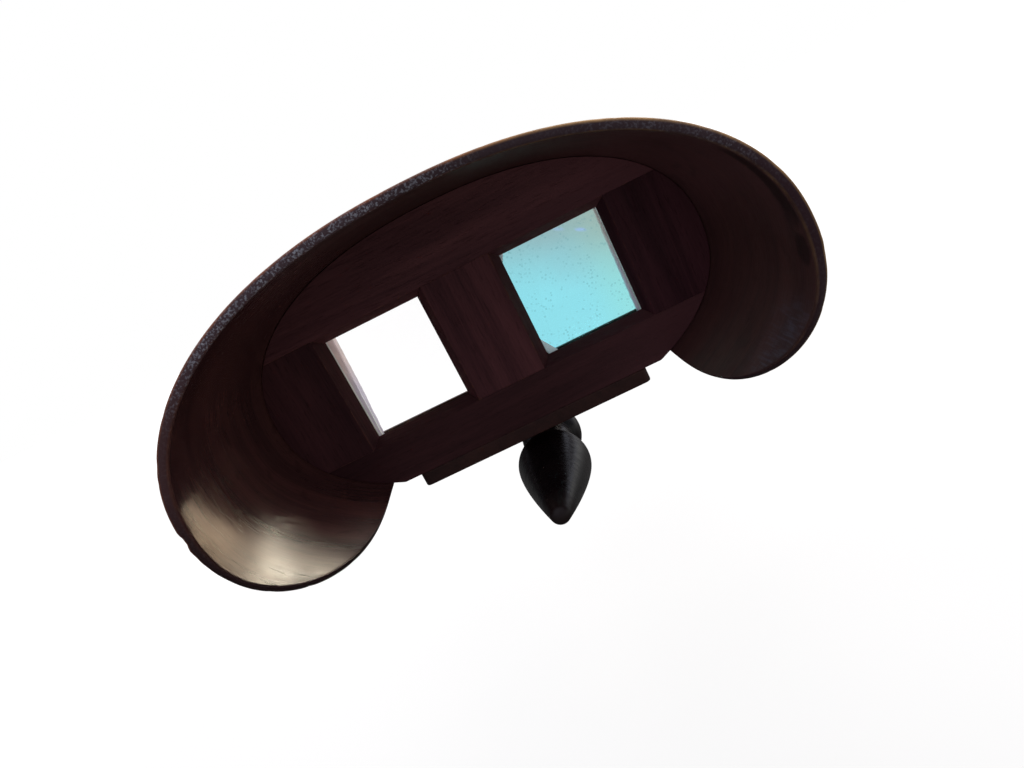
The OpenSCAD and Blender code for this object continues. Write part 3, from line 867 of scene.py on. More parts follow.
def mesh_of(name: str, points: np.ndarray, faces: Sequence[Sequence[int]]) -> bpy.types.Mesh:
    """Makes a smooth mesh whose faces point outwards.

    Args:
        name: The mesh's name.
        points: Corner points in metres, one for each row.
        faces: Corner numbers of each face.

    Returns:
        The mesh.
    """
    mesh = bpy.data.meshes.new(name)
    mesh.from_pydata([tuple(p) for p in points], [], [list(f) for f in faces])
    form = bmesh.new()
    form.from_mesh(mesh)
    bmesh.ops.recalc_face_normals(form, faces=form.faces)
    form.to_mesh(mesh)
    form.free()
    mesh.shade_smooth()
    return mesh


def set_mark(mesh: bpy.types.Mesh, name: str, values: np.ndarray, domain: str = "POINT") -> None:
    """Stores one number for each point or face of a mesh."""
    mesh.attributes.new(name, "FLOAT", domain).data.foreach_set("value", values.astype(np.float32))


def set_map(mesh: bpy.types.Mesh, name: str, places: np.ndarray) -> None:
    """Stores a UV map from one place for each point of a mesh.

    Args:
        mesh: The mesh.
        name: The map's name.
        places: One place for each point.
    """
    corners = np.zeros(len(mesh.loops), np.int32)
    mesh.loops.foreach_get("vertex_index", corners)
    mesh.uv_layers.new(name=name).data.foreach_set("uv", places[corners].astype(np.float32).ravel())


@dataclass(frozen=True)
class Bore:
    """A fastener's hole, whose edges are left sharp under the fastener's head."""

    foot: Vector
    axis: Vector
    radius: float

    def holds(self, point: Vector) -> bool:
        """Tells whether a point lies on the hole's wall or edge."""
        away = point - self.foot
        return (away - self.axis * away.dot(self.axis)).length < self.radius


MAPPED_GIRTH = 0.08
FLAT = math.radians(0.4)
ARRIS = math.radians(38)
ARRIS_FACETS = 2
FACE_WEIGHT = 90


def eased(node: str, width: float, bores: Sequence[Bore]) -> bpy.types.Object:
    """Copies a CAD node with its outer arrises eased, as a hand tool leaves them.

    Args:
        node: The CAD node.
        width: Width of the easing in metres.
        bores: Fasteners' holes in the node.

    Returns:
        The new piece, with its eased faces marked.
    """
    form = bmesh.new()
    form.from_mesh(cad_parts[node].data)
    mark = form.faces.layers.float.new("arris")
    bmesh.ops.remove_doubles(form, verts=form.verts, dist=MERGE)
    bmesh.ops.dissolve_limit(form, angle_limit=FLAT, verts=form.verts, edges=form.edges)
    bored = {v for v in form.verts if any(b.holds(v.co) for b in bores)}
    arrises = [
        e
        for e in form.edges
        if e.is_manifold
        and e.is_convex
        and e.calc_face_angle(0.0) > ARRIS
        and not (e.verts[0] in bored and e.verts[1] in bored)
    ]
    made = bmesh.ops.bevel(
        form,
        geom=arrises,
        offset=width,
        segments=ARRIS_FACETS,
        profile=0.5,
        affect="EDGES",
        clamp_overlap=True,
    )
    for face in made["faces"]:
        face[mark] = 1.0
    mesh = bpy.data.meshes.new(f"{node}_eased")
    form.to_mesh(mesh)
    form.free()
    mesh.shade_smooth()
    piece = link(f"{node}_eased", mesh)
    levelled = piece.modifiers.new("level_faces", "WEIGHTED_NORMAL")
    levelled.weight = FACE_WEIGHT
    return piece


def turned(name: str, profile: np.ndarray, place: Matrix, steps: int) -> bpy.types.Object:
    """Turns a profile about its axis.

    Args:
        name: The piece's name.
        profile: Rows of radius and distance along the axis, from pole to pole, in metres.
        place: Where the axis, which starts as Z, goes.
        steps: Facets round the axis.

    Returns:
        The piece, with its turn and reach mapped and marked.
    """
    radius, reach = profile[1:-1, 0], profile[1:-1, 1]
    turn = np.arange(steps) * 2 * math.pi / steps
    rings = np.stack(
        [
            np.outer(radius, np.cos(turn)),
            np.outer(radius, np.sin(turn)),
            np.repeat(reach[:, None], steps, 1),
        ],
        -1,
    ).reshape(-1, 3)
    local = np.vstack([rings, [[0, 0, profile[0, 1]], [0, 0, profile[-1, 1]]]])
    rows, low, high = len(radius), len(rings), len(rings) + 1
    faces = [
        (low_ring + k, low_ring + (k + 1) % steps, high_ring + (k + 1) % steps, high_ring + k)
        for low_ring, high_ring in ((r * steps, (r + 1) * steps) for r in range(rows - 1))
        for k in range(steps)
    ]
    last = (rows - 1) * steps
    faces += [(low, (k + 1) % steps, k) for k in range(steps)]
    faces += [(high, last + k, last + (k + 1) % steps) for k in range(steps)]
    turning = np.array(place.to_3x3())
    mesh = mesh_of(name, local @ turning.T + np.array(place.translation), faces)
    girth = np.concatenate([np.tile(np.abs(turn - math.pi) / (2 * math.pi), rows), [0.0, 0.0]])
    set_map(mesh, "turned", np.stack([girth * MAPPED_GIRTH, local[:, 2]], -1))
    set_mark(mesh, "reach", local[:, 2])
    return link(name, mesh)


HOOD_WOOD = BentWoodFinish(
    "hood_wood", Grain.ALONG_X, tone(60, 36, 37), tone(94, 58, 54), gloss=0.75, roughness=0.11
)
# The rails' fade is painted light: they are paler towards the right, lifting the side that lies in
# shade.
RAIL_WOOD = WoodFinish("rail_wood", Grain.ALONG_X, tone(66, 36, 41), tone(114, 69, 70), fade=0.42)
STILE_WOOD = WoodFinish("stile_wood", Grain.ALONG_Z, shift=(0.4, 0.2, 0.9))
CENTRE_WOOD = WoodFinish(
    "centre_wood", Grain.ALONG_Z, tone(62, 33, 38), tone(108, 63, 65), shift=(0.8, 0.5, 0.2)
)
RIGHT_WOOD = WoodFinish(
    "right_wood", Grain.ALONG_Z, tone(51, 26, 33), tone(88, 49, 55), shift=(0.6, 0.9, 0.4)
)
LOW_RAIL_WOOD = WoodFinish(
    "low_rail_wood",
    Grain.ALONG_X,
    tone(44, 24, 27),
    tone(76, 43, 45),
    shift=(0.3, 0.6, 0.1),
    arris_wear=0.2,
    # fade: painted light, paler towards the right.
    fade=0.28,
)
BASE_WOOD = WoodFinish(
    "base_wood",
    Grain.ALONG_Y,
    tone(36, 20, 21),
    tone(64, 37, 34),
    shift=(0.7, 0.1, 0.3),
    gloss=0.3,
    arris_wear=0.12,
)
BAR_WOOD = WoodFinish("bar_wood", Grain.ALONG_X, shift=(0.1, 0.8, 0.6), gloss=0.3)
INNER_RAIL_WOOD, INNER_STILE_WOOD = (
    WoodFinish(f"inner_wood_{way}", grain, tone(44, 25, 20), tone(80, 48, 38))
    for way, grain in (("level", Grain.ALONG_X), ("upright", Grain.ALONG_Z))
)
LACQUER = LacquerFinish()
IRON = MetalFinish("dark_iron", tone(66, 62, 60), tone(44, 34, 30), 0.46, 0.9)
BRASS = MetalFinish("aged_brass", tone(186, 148, 84), tone(112, 84, 50), 0.34)
STEEL = MetalFinish("dull_steel", tone(158, 154, 148), tone(110, 102, 94), 0.36)


@dataclass
class HoodShell:
    """The bent wooden hood, drawn as one fine shell with a worn rim, in millimetres."""

    board_w: float = 154.2
    board_h: float = 86.8
    fullness: float = 2.24
    board_t: float = 12.5
    wall: float = 3.0
    flare: float = 0.1
    forehead: float = 45.0
    temple: float = 66.8
    temple_angle: float = 7.0
    corner_angle: float = 49.7
    corner_depth: float = 3.0
    cheek_power: float = 2.9
    brow_power: float = 2.4
    rim_round: float = 1.5
    squeeze: float = 0.22
    belly_turns: tuple[float, ...] = (-45.0, 10.0, 20.0, 50.0)
    belly: tuple[float, ...] = (0.7, 1.0, 0.72, -0.1)
    belly_at: tuple[float, ...] = (0.98, 0.69, 0.84, 1.36)
    belly_lean: tuple[float, ...] = (-0.82, -0.28, 0.0, 0.0)
    belly_length: float = 1.3
    belly_from: float = -45.0
    belly_fade: float = 6.0
    rim_slant: float = 1.0
    slant_from: float = 5.0
    slant_fade: float = 15.0
    slant_run: float = 20.0
    rim_square: float = 3.0
    nick_below: float = 3.6
    nick_deep: float = 0.42
    chip_count: int = 30
    wear_seed: int = 41
    map_gap: float = 0.3
    line_steps: int = 900
    stations: int = 460
    wall_steps: int = 40
    rim_steps: int = 12

    def build(self, shop: Workshop) -> None:
        """Makes the shell and puts it on the viewer.

        Args:
            shop: Makes the finishes and mounts the pieces.
        """
        turns, depths = self.rim_line()
        rows = [self.section(q, d) for q, d in zip(turns, depths)]
        points = np.array([r[0] for r in rows])
        marks = np.array([r[1] for r in rows])
        points = self.wear(points, marks, turns)
        n, count = points.shape[1], points.shape[0]
        faces = [
            (i * n + j, (i + 1) * n + j, (i + 1) * n + (j + 1) % n, i * n + (j + 1) % n)
            for i in range(count - 1)
            for j in range(n)
        ]
        for end in (0, (count - 1) * n):
            across = range(n // 2 - 1)
            faces += [(end + j, end + j + 1, end + n - 2 - j, end + n - 1 - j) for j in across]
        mesh = mesh_of("hood_shell", points.reshape(-1, 3) * MM + np.array(spot(0, 0, 0)), faces)
        strides = np.hypot(*np.diff(self.oval(turns, 0.0), axis=0).T)
        arc = np.concatenate([[0.0], np.cumsum(strides)])
        outside = np.where(marks > 1, self.map_gap, 0.0)
        along = np.repeat(arc[:, None] * MM, n, 1)
        unrolled = np.stack([along, -points[:, :, 1] * MM + outside], -1)
        set_map(mesh, "bend", unrolled.reshape(-1, 2))
        set_mark(mesh, "across", marks.reshape(-1))
        set_mark(mesh, "around", np.repeat(np.linspace(0, 1, count), n))
        mesh.set_sharp_from_angle(angle=SHARP)
        shop.mount(link("hood_shell", mesh), HOOD_WOOD, "viewer", ["hood"])

    def oval(self, turn: np.ndarray, grow: np.ndarray | float) -> np.ndarray:
        """Gives the oval's points at some angles, grown outward.

        Args:
            turn: Angles from the right, in radians.
            grow: Growth of both half axes, in millimetres.

        Returns:
            Rows of x and z in millimetres.
        """
        c, s = np.cos(turn), np.sin(turn)
        r = (np.abs(c) ** self.fullness + np.abs(s) ** self.fullness) ** (-1 / self.fullness)
        return np.stack([r * (self.board_w / 2 + grow) * c, r * (self.board_h / 2 + grow) * s], -1)

    def rim_line(self) -> tuple[np.ndarray, np.ndarray]:
        """Walks the rim from the right cheek over the brow to the left cheek in even steps.

        Returns:
            Angles in radians, and the hood's depth at each in millimetres.
        """
        a = np.linspace(math.pi / 2, 0, self.line_steps)
        power = 2 / self.cheek_power
        cheek = -self.temple_angle - (self.corner_angle - self.temple_angle) * np.sin(a) ** power
        cheek_depth = self.corner_depth + (self.temple - self.corner_depth) * np.cos(a) ** power
        f = np.linspace(0, 1, self.line_steps)[1:]
        brow = -self.temple_angle + (90 + self.temple_angle) * f
        swell = np.cos(math.pi / 2 * f) ** self.brow_power
        brow_depth = self.forehead + (self.temple - self.forehead) * swell
        half_turn = np.concatenate([cheek, brow])
        half_depth = np.concatenate([cheek_depth, brow_depth])
        turn = np.radians(np.concatenate([half_turn, 180 - half_turn[-2::-1]]))
        depth = np.concatenate([half_depth, half_depth[-2::-1]])
        line = np.column_stack([self.oval(turn, self.flare * depth), depth])
        walked = np.concatenate([[0.0], np.cumsum(np.linalg.norm(np.diff(line, axis=0), axis=1))])
        even = np.linspace(0, walked[-1], self.stations)
        return np.interp(even, walked, turn), np.interp(even, walked, depth)

    def section(self, turn: float, depth: float) -> tuple[np.ndarray, np.ndarray]:
        """Draws the wall's cut face at one angle: up the inside, round the rim, down the outside.

        Args:
            turn: The angle in radians.
            depth: The hood's depth there in millimetres.

        Returns:
            The points in millimetres, and the mark of each: below 0 inside, 0 to 1 over the rim.
        """
        run = depth - self.rim_round
        slanting = (self.below_temple(turn) - self.slant_from) / self.slant_fade
        slant = self.rim_slant * min(max(slanting, 0.0), 1.0) * min(run / self.slant_run, 1.0)
        # The first rows grip the board's edge and are squeezed there; the rest stand free.
        tight = np.array([-self.board_t, -0.9, -0.5])
        inside, outside = (
            np.concatenate([tight, np.linspace(0, run + edge, self.wall_steps + 1)])
            for edge in (slant, -slant)
        )
        a = np.linspace(0, math.pi, self.rim_steps + 1)[1:-1]
        c, s = np.cos(a), np.sin(a)
        over = (1 - np.sign(c) * np.abs(c) ** (2 / self.rim_square)) / 2
        edge = run + slant * (1 - 2 * over)
        crest = edge + self.rim_round * s ** (2 / self.rim_square)
        drop = np.concatenate([inside, crest, outside[::-1]])
        steps = np.clip(np.concatenate([inside, edge, outside[::-1]]), 0, None)
        spread = self.flare * run * self.bellied(turn, steps / run)
        inner = np.where(inside < -0.6, -self.squeeze, 0.0)
        grow = spread + np.concatenate([inner, over * self.wall, np.full_like(outside, self.wall)])
        before, after = inside - inside[-1], outside[-1] - outside[::-1]
        across = np.concatenate([before / self.wall, over, 1 + after / self.wall])
        flat = self.oval(np.full_like(grow, turn), grow)
        return np.column_stack([flat[:, 0], -drop, flat[:, 1]]), across

    @staticmethod
    def below_temple(turn: float) -> float:
        """Gives how many degrees an angle lies below the level of the eyes, on either side."""
        return abs(math.degrees(turn) - 90) - 90

    def bellied(self, turn: float, share: np.ndarray) -> np.ndarray:
        """Bends the wall's straight flare into a shallow belly that leaves both its ends in place.

        Args:
            turn: The angle in radians.
            share: Shares of the wall's run, from the board to the rim.

        Returns:
            The share of the flare that is reached at each.
        """
        low = self.below_temple(turn)
        fade = 1 / (1 + math.exp((self.belly_from - low) / self.belly_fade))
        measures = (self.belly, self.belly_at, self.belly_lean)
        deep, at, lean = (self.along(row, low) for row in measures)
        wave = 2 * math.pi / self.belly_length
        start, end = math.sin(wave * at), math.sin(wave * (1 - at))
        ripple = (np.sin(wave * (share - at)) + start - (start + end) * share) / wave
        return share - fade * (deep * ripple - lean * (share**2 - share))

    def along(self, row: tuple[float, ...], low: float) -> float:
        """Reads one of the belly's measures some degrees below the temple, smoothed.

        Args:
            row: The measure at each of the belly's angles.
            low: Degrees below the temple.

        Returns:
            The measure there.
        """
        fine = np.linspace(-70, 75, 291)
        bell = np.exp(-np.linspace(-2, 2, 25) ** 2)
        rough = np.pad(np.interp(fine, self.belly_turns, row), len(bell) // 2, "edge")
        return float(np.interp(low, fine, np.convolve(rough, bell / bell.sum(), "valid")))

    def wear(self, points: np.ndarray, marks: np.ndarray, turns: np.ndarray) -> np.ndarray:
        """Rounds the rim unevenly, with small chips and one nick on the left cheek.

        Args:
            points: Rows of stations, each with its points in millimetres.
            marks: The mark of each point.
            turns: The angle of each station.

        Returns:
            The worn points.
        """
        rng = np.random.default_rng(self.wear_seed)
        count = len(points)
        walk = np.arange(count)
        chips = np.zeros(count)
        for place in rng.uniform(0.08, 0.92, self.chip_count):
            size, deep = rng.uniform(0.6, 1.8), rng.uniform(0.03, 0.16)
            chips += deep * np.exp(-((walk - place * count) / size) ** 2)
        ripple = np.interp(walk, np.linspace(0, count, 90), rng.uniform(0, 0.06, 90))
        nick_at = np.argmin(np.abs(turns - math.radians(180 + self.nick_below)))
        nick = self.nick_deep * np.exp(-(((walk - nick_at) / 2.0) ** 4))
        rim = (marks > 0.0) & (marks < 1.0)
        worn = points.copy()
        outer = np.clip(marks, 0, 1) ** 2 * rim
        worn[:, :, 1] += rim * (ripple + chips * 0.5)[:, None]
        worn[:, :, 1] += outer * (chips * 0.6 + nick * 0.8)[:, None]
        shell = np.stack([np.cos(turns), np.zeros_like(turns), np.sin(turns)], -1)
        near = np.exp(-np.clip(marks - 0.9, 0, None) * 2.2) * (marks > 0.45)
        worn -= shell[:, None, :] * (near * (nick + chips * 0.3)[:, None])[:, :, None]
        return worn


@dataclass
class LensBoard:
    """The framed oval board: two rails and three stiles, eased so that their joints show."""

    easing: float = 0.22 * MM

    def build(self, shop: Workshop, nails: "Fasteners") -> None:
        """Makes the five pieces of the frame and puts them on the viewer.

        Args:
            shop: Makes the finishes and mounts the pieces.
            nails: The fasteners, whose holes stay sharp.
        """
        bores = nails.bores()
        for node, finish in {
            "top_rail": RAIL_WOOD,
            "bottom_rail": LOW_RAIL_WOOD,
            "left_stile": STILE_WOOD,
            "centre_stile": CENTRE_WOOD,
            "right_stile": RIGHT_WOOD,
        }.items():
            shop.mount(eased(node, self.easing, bores), finish, "viewer", [node])


@dataclass
class HalfLens:
    """One square half lens: flat towards the eye, curved behind, with ground edges."""

    side: int
    tint: Tint
    curve: float = 99 * MM
    optical_x: float = 42 * MM
    grind: float = 0.35 * MM
    chips: tuple[tuple[Point, Point, float], ...] = (
        ((14.85, 4.5, -12.6), (18.6, 4.5, -18.25), -1.4),
        ((14.85, 4.5, 15.6), (16.2, 4.5, 18.25), -1.0),
    )
    steps: int = 36

    def build(self, shop: Workshop) -> None:
        """Makes the lens and puts it on the viewer.

        Args:
            shop: Makes the finishes and mounts the pieces.
        """
        node = "left_lens" if self.side < 0 else "right_lens"
        low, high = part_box(node)
        form = self.blank(low, high)
        if self.tint is Tint.CYAN:
            for first, second, slant in self.chips:
                self.chip(form, spot(*first), spot(*second), Vector((0.0, slant, 0.0)))
        mark = form.faces.layers.float["ground"]
        bmesh.ops.recalc_face_normals(form, faces=form.faces)
        for face in form.faces:
            face.smooth = face[mark] < 0.5 and face.normal.y > 0.5
        mesh = bpy.data.meshes.new(f"{node}_glass")
        form.to_mesh(mesh)
        form.free()
        piece = link(f"{node}_glass", mesh)
        shop.mount(piece, GlassFinish(self.tint), "viewer", [node])

    def blank(self, low: Vector, high: Vector) -> bmesh.types.BMesh:
        """Grinds a whole lens.

        Args:
            low: Lowest corner of the CAD lens.
            high: Highest corner of the CAD lens.

        Returns:
            The lens as a mesh in the making, its ground faces marked.
        """
        xs = np.linspace(low.x, high.x, self.steps + 1)
        zs = np.linspace(low.z, high.z, self.steps + 1)
        gx, gz = np.meshgrid(xs, zs, indexing="ij")
        away = (gx - self.side * self.optical_x) ** 2 + (gz - LENS_AXIS) ** 2
        back = high.y - self.curve + np.sqrt(self.curve**2 - away)
        form = bmesh.new()
        mark = form.faces.layers.float.new("ground")
        n = self.steps
        rear = [
            [form.verts.new((gx[i, j], back[i, j], gz[i, j])) for j in range(n + 1)]
            for i in range(n + 1)
        ]
        for i in range(n):
            for j in range(n):
                form.faces.new((rear[i][j], rear[i][j + 1], rear[i + 1][j + 1], rear[i + 1][j]))
        edge = (
            [(i, 0) for i in range(n)]
            + [(n, j) for j in range(n)]
            + [(i, n) for i in range(n, 0, -1)]
            + [(0, j) for j in range(n, 0, -1)]
        )
        rim = [rear[i][j] for i, j in edge]
        front = [form.verts.new((gx[i, j], low.y + self.grind, gz[i, j])) for i, j in edge]
        inset = [
            form.verts.new(
                (
                    min(max(gx[i, j], low.x + self.grind), high.x - self.grind),
                    low.y,
                    min(max(gz[i, j], low.z + self.grind), high.z - self.grind),
                )
            )
            for i, j in edge
        ]
        for k in range(len(edge)):
            m = (k + 1) % len(edge)
            for near, far in ((rim, front), (front, inset)):
                form.faces.new((near[k], near[m], far[m], far[k]))[mark] = 1.0
        form.faces.new(inset)
        bmesh.ops.remove_doubles(form, verts=form.verts, dist=MERGE)
        return form

    @staticmethod
    def chip(form: bmesh.types.BMesh, first: Vector, second: Vector, slant: Vector) -> None:
        """Breaks a corner off the glass along a slanted plane.

        Args:
            form: The lens in the making.
            first: A point on the break, in the front face.
            second: Another point on the break.
            slant: How the plane leans into the glass.
        """
        along = (second - first).normalized()
        across = Vector((along.z, 0, -along.x))
        low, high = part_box("right_lens")
        middle = Vector(((low.x + high.x) / 2, first.y, LENS_AXIS))
        if across.dot(middle - first) > 0:
            across = -across
        cut = bmesh.ops.bisect_plane(
            form,
            geom=form.verts[:] + form.edges[:] + form.faces[:],
            plane_co=first,
            plane_no=(across + slant).normalized(),
            clear_outer=True,
        )
        loop = [e for e in cut["geom_cut"] if isinstance(e, bmesh.types.BMEdge)]
        mark = form.faces.layers.float["ground"]
        for face in bmesh.ops.edgenet_fill(form, edges=loop)["faces"]:
            face[mark] = 1.0


class GrowthTree(Wiring):
    """A Geometry Nodes tree with named inputs, ending in plain geometry with a material."""

    INPUTS = (
        ("Head Radius", "NodeSocketFloat"),
        ("Head Height", "NodeSocketFloat"),
        ("Shank Radius", "NodeSocketFloat"),
        ("Length", "NodeSocketFloat"),
        ("Slot", "NodeSocketFloat"),
        ("Seed", "NodeSocketInt"),
        ("Material", "NodeSocketMaterial"),
    )

    def __init__(self, name: str) -> None:
        """Starts a tree with a geometry inlet and the named inputs.

        Args:
            name: The tree's name.
        """
        tree = bpy.data.node_groups.new(name, "GeometryNodeTree")
        super().__init__(tree)
        tree.interface.new_socket("Geometry", in_out="OUTPUT", socket_type="NodeSocketGeometry")
        tree.interface.new_socket("Geometry", in_out="INPUT", socket_type="NodeSocketGeometry")
        for label, kind in self.INPUTS:
            tree.interface.new_socket(label, in_out="INPUT", socket_type=kind)
        self.source = self.node("NodeGroupInput")

    def inlet(self, name: str) -> Term:
        """Gives one of the tree's named inputs."""
        return Term(self, self._find(self.source.outputs, name))

    def vector(self, x: Any, y: Any, z: Any) -> Term:
        """Joins three numbers into a vector."""
        return self.term("ShaderNodeCombineXYZ", None, {"X": x, "Y": y, "Z": z})

    def join(self, *parts: Term) -> Term:
        """Joins geometry."""
        return self.term("GeometryNodeJoinGeometry", None, {"Geometry": list(parts)})

    def lowered(self, shape: Term, drop: Term) -> Term:
        """Moves geometry down."""
        move = self.vector(0.0, 0.0, 0.0 - drop)
        return self.term("GeometryNodeTransform", None, {"Geometry": shape, "Translation": move})

    def shank(self, radius: Term, length: Term, point: float) -> Term:
        """Makes a shank that runs down from the origin.

        Args:
            radius: Its radius.
            length: Its length.
            point: The far end's share of that radius.

        Returns:
            The shank's geometry.
        """
        cone = self.term(
            "GeometryNodeMeshCone",
            None,
            {
                "Vertices": 16,
                "Radius Top": radius,
                "Radius Bottom": radius * point,
                "Depth": length,
            },
            "Mesh",
        )
        return self.lowered(cone, length)

    def scatter(self, shape: Term) -> bpy.types.NodeTree:
        """Sets the shape on each point along its aim, turned at random, and closes the tree.

        Args:
            shape: The fastener, pointing up.

        Returns:
            The finished tree.
        """
        aim = self.term(
            "GeometryNodeInputNamedAttribute",
            {"data_type": "FLOAT_VECTOR"},
            {"Name": "aim"},
            "Attribute",
        )
        upright = self.term("FunctionNodeAlignRotationToVector", {"axis": "Z"}, {"Vector": aim})
        turn = self.term(
            "FunctionNodeRandomValue",
            {"data_type": "FLOAT"},
            {"Max_001": 2 * math.pi, "Seed": self.inlet("Seed")},
            1,
        )
        spin = self.term(
            "FunctionNodeAxisAngleToRotation", None, {"Axis": (0.0, 0.0, 1.0), "Angle": turn}
        )
        facing = self.term(
            "FunctionNodeRotateRotation",
            {"rotation_space": "LOCAL"},
            {"Rotation": upright, "Rotate By": spin},
        )
        copies = self.term(
            "GeometryNodeInstanceOnPoints",
            None,
            {"Points": self.inlet("Geometry"), "Instance": shape, "Rotation": facing},
        )
        return self.close(copies)

    def close(self, shape: Term) -> bpy.types.NodeTree:
        """Ends the tree: real geometry, with its material.

        Args:
            shape: The geometry.

        Returns:
            The finished tree.
        """
        real = self.term("GeometryNodeRealizeInstances", None, {"Geometry": shape})
        dressed = self.term(
            "GeometryNodeSetMaterial", None, {"Geometry": real, "Material": self.inlet("Material")}
        )
        self.node("NodeGroupOutput", None, {0: dressed})
        return self.tree


SHARP_GROWN = math.radians(32)


def grown(
    name: str, seed: bpy.types.Mesh, tree: bpy.types.NodeTree, values: Mapping[str, Any]
) -> bpy.types.Object:
    """Runs a geometry tree on a mesh and keeps the result as a plain mesh.

    Args:
        name: The new piece's name.
        seed: The points or edges that the tree starts from.
        tree: The tree.
        values: Its inputs by name.

    Returns:
        The finished piece.
    """
    carrier = link(f"{name}_carrier", seed)
    growth = carrier.modifiers.new("growth", "NODES")
    growth.node_group = tree
    for item in tree.interface.items_tree:
        if item.in_out == "INPUT" and item.name in values:
            growth[item.identifier] = values[item.name]
    graph = bpy.context.evaluated_depsgraph_get()
    graph.update()
    mesh = bpy.data.meshes.new_from_object(carrier.evaluated_get(graph))
    carrier.modifiers.remove(growth)
    bpy.data.objects.remove(carrier)
    mesh.shade_smooth()
    mesh.set_sharp_from_angle(angle=SHARP_GROWN)
    return link(name, mesh)


class Head(Enum):
    """The two kinds of small fastener."""

    DOMED = "domed_nail"
    SLOTTED = "slotted_screw"


@dataclass(frozen=True)
class Gauge:
    """One gauge of fastener, in millimetres."""

    head: Head
    head_d: float
    head_h: float
    shank_d: float

    def seat(self) -> float:
        """Gives the radius, in metres, of the hole's edge that the fastener fills."""
        return (self.head_d if self.head is Head.SLOTTED else self.shank_d) / 2 * MM


NAIL = Gauge(Head.DOMED, 3.0, 0.9, 1.2)
SCREW = Gauge(Head.SLOTTED, 6.0, 1.6, 3.0)
SMALL_SCREW = Gauge(Head.SLOTTED, 3.72, 0.99, 1.86)
Stand = tuple[Point, Point]


@dataclass(frozen=True)
class FastenerRow:
    """Fasteners of one gauge and length that stand for one CAD node, each with its aim."""

    node: str
    body: str
    slot: str
    finish: MetalFinish
    gauge: Gauge
    length: float
    places: tuple[Stand, ...]


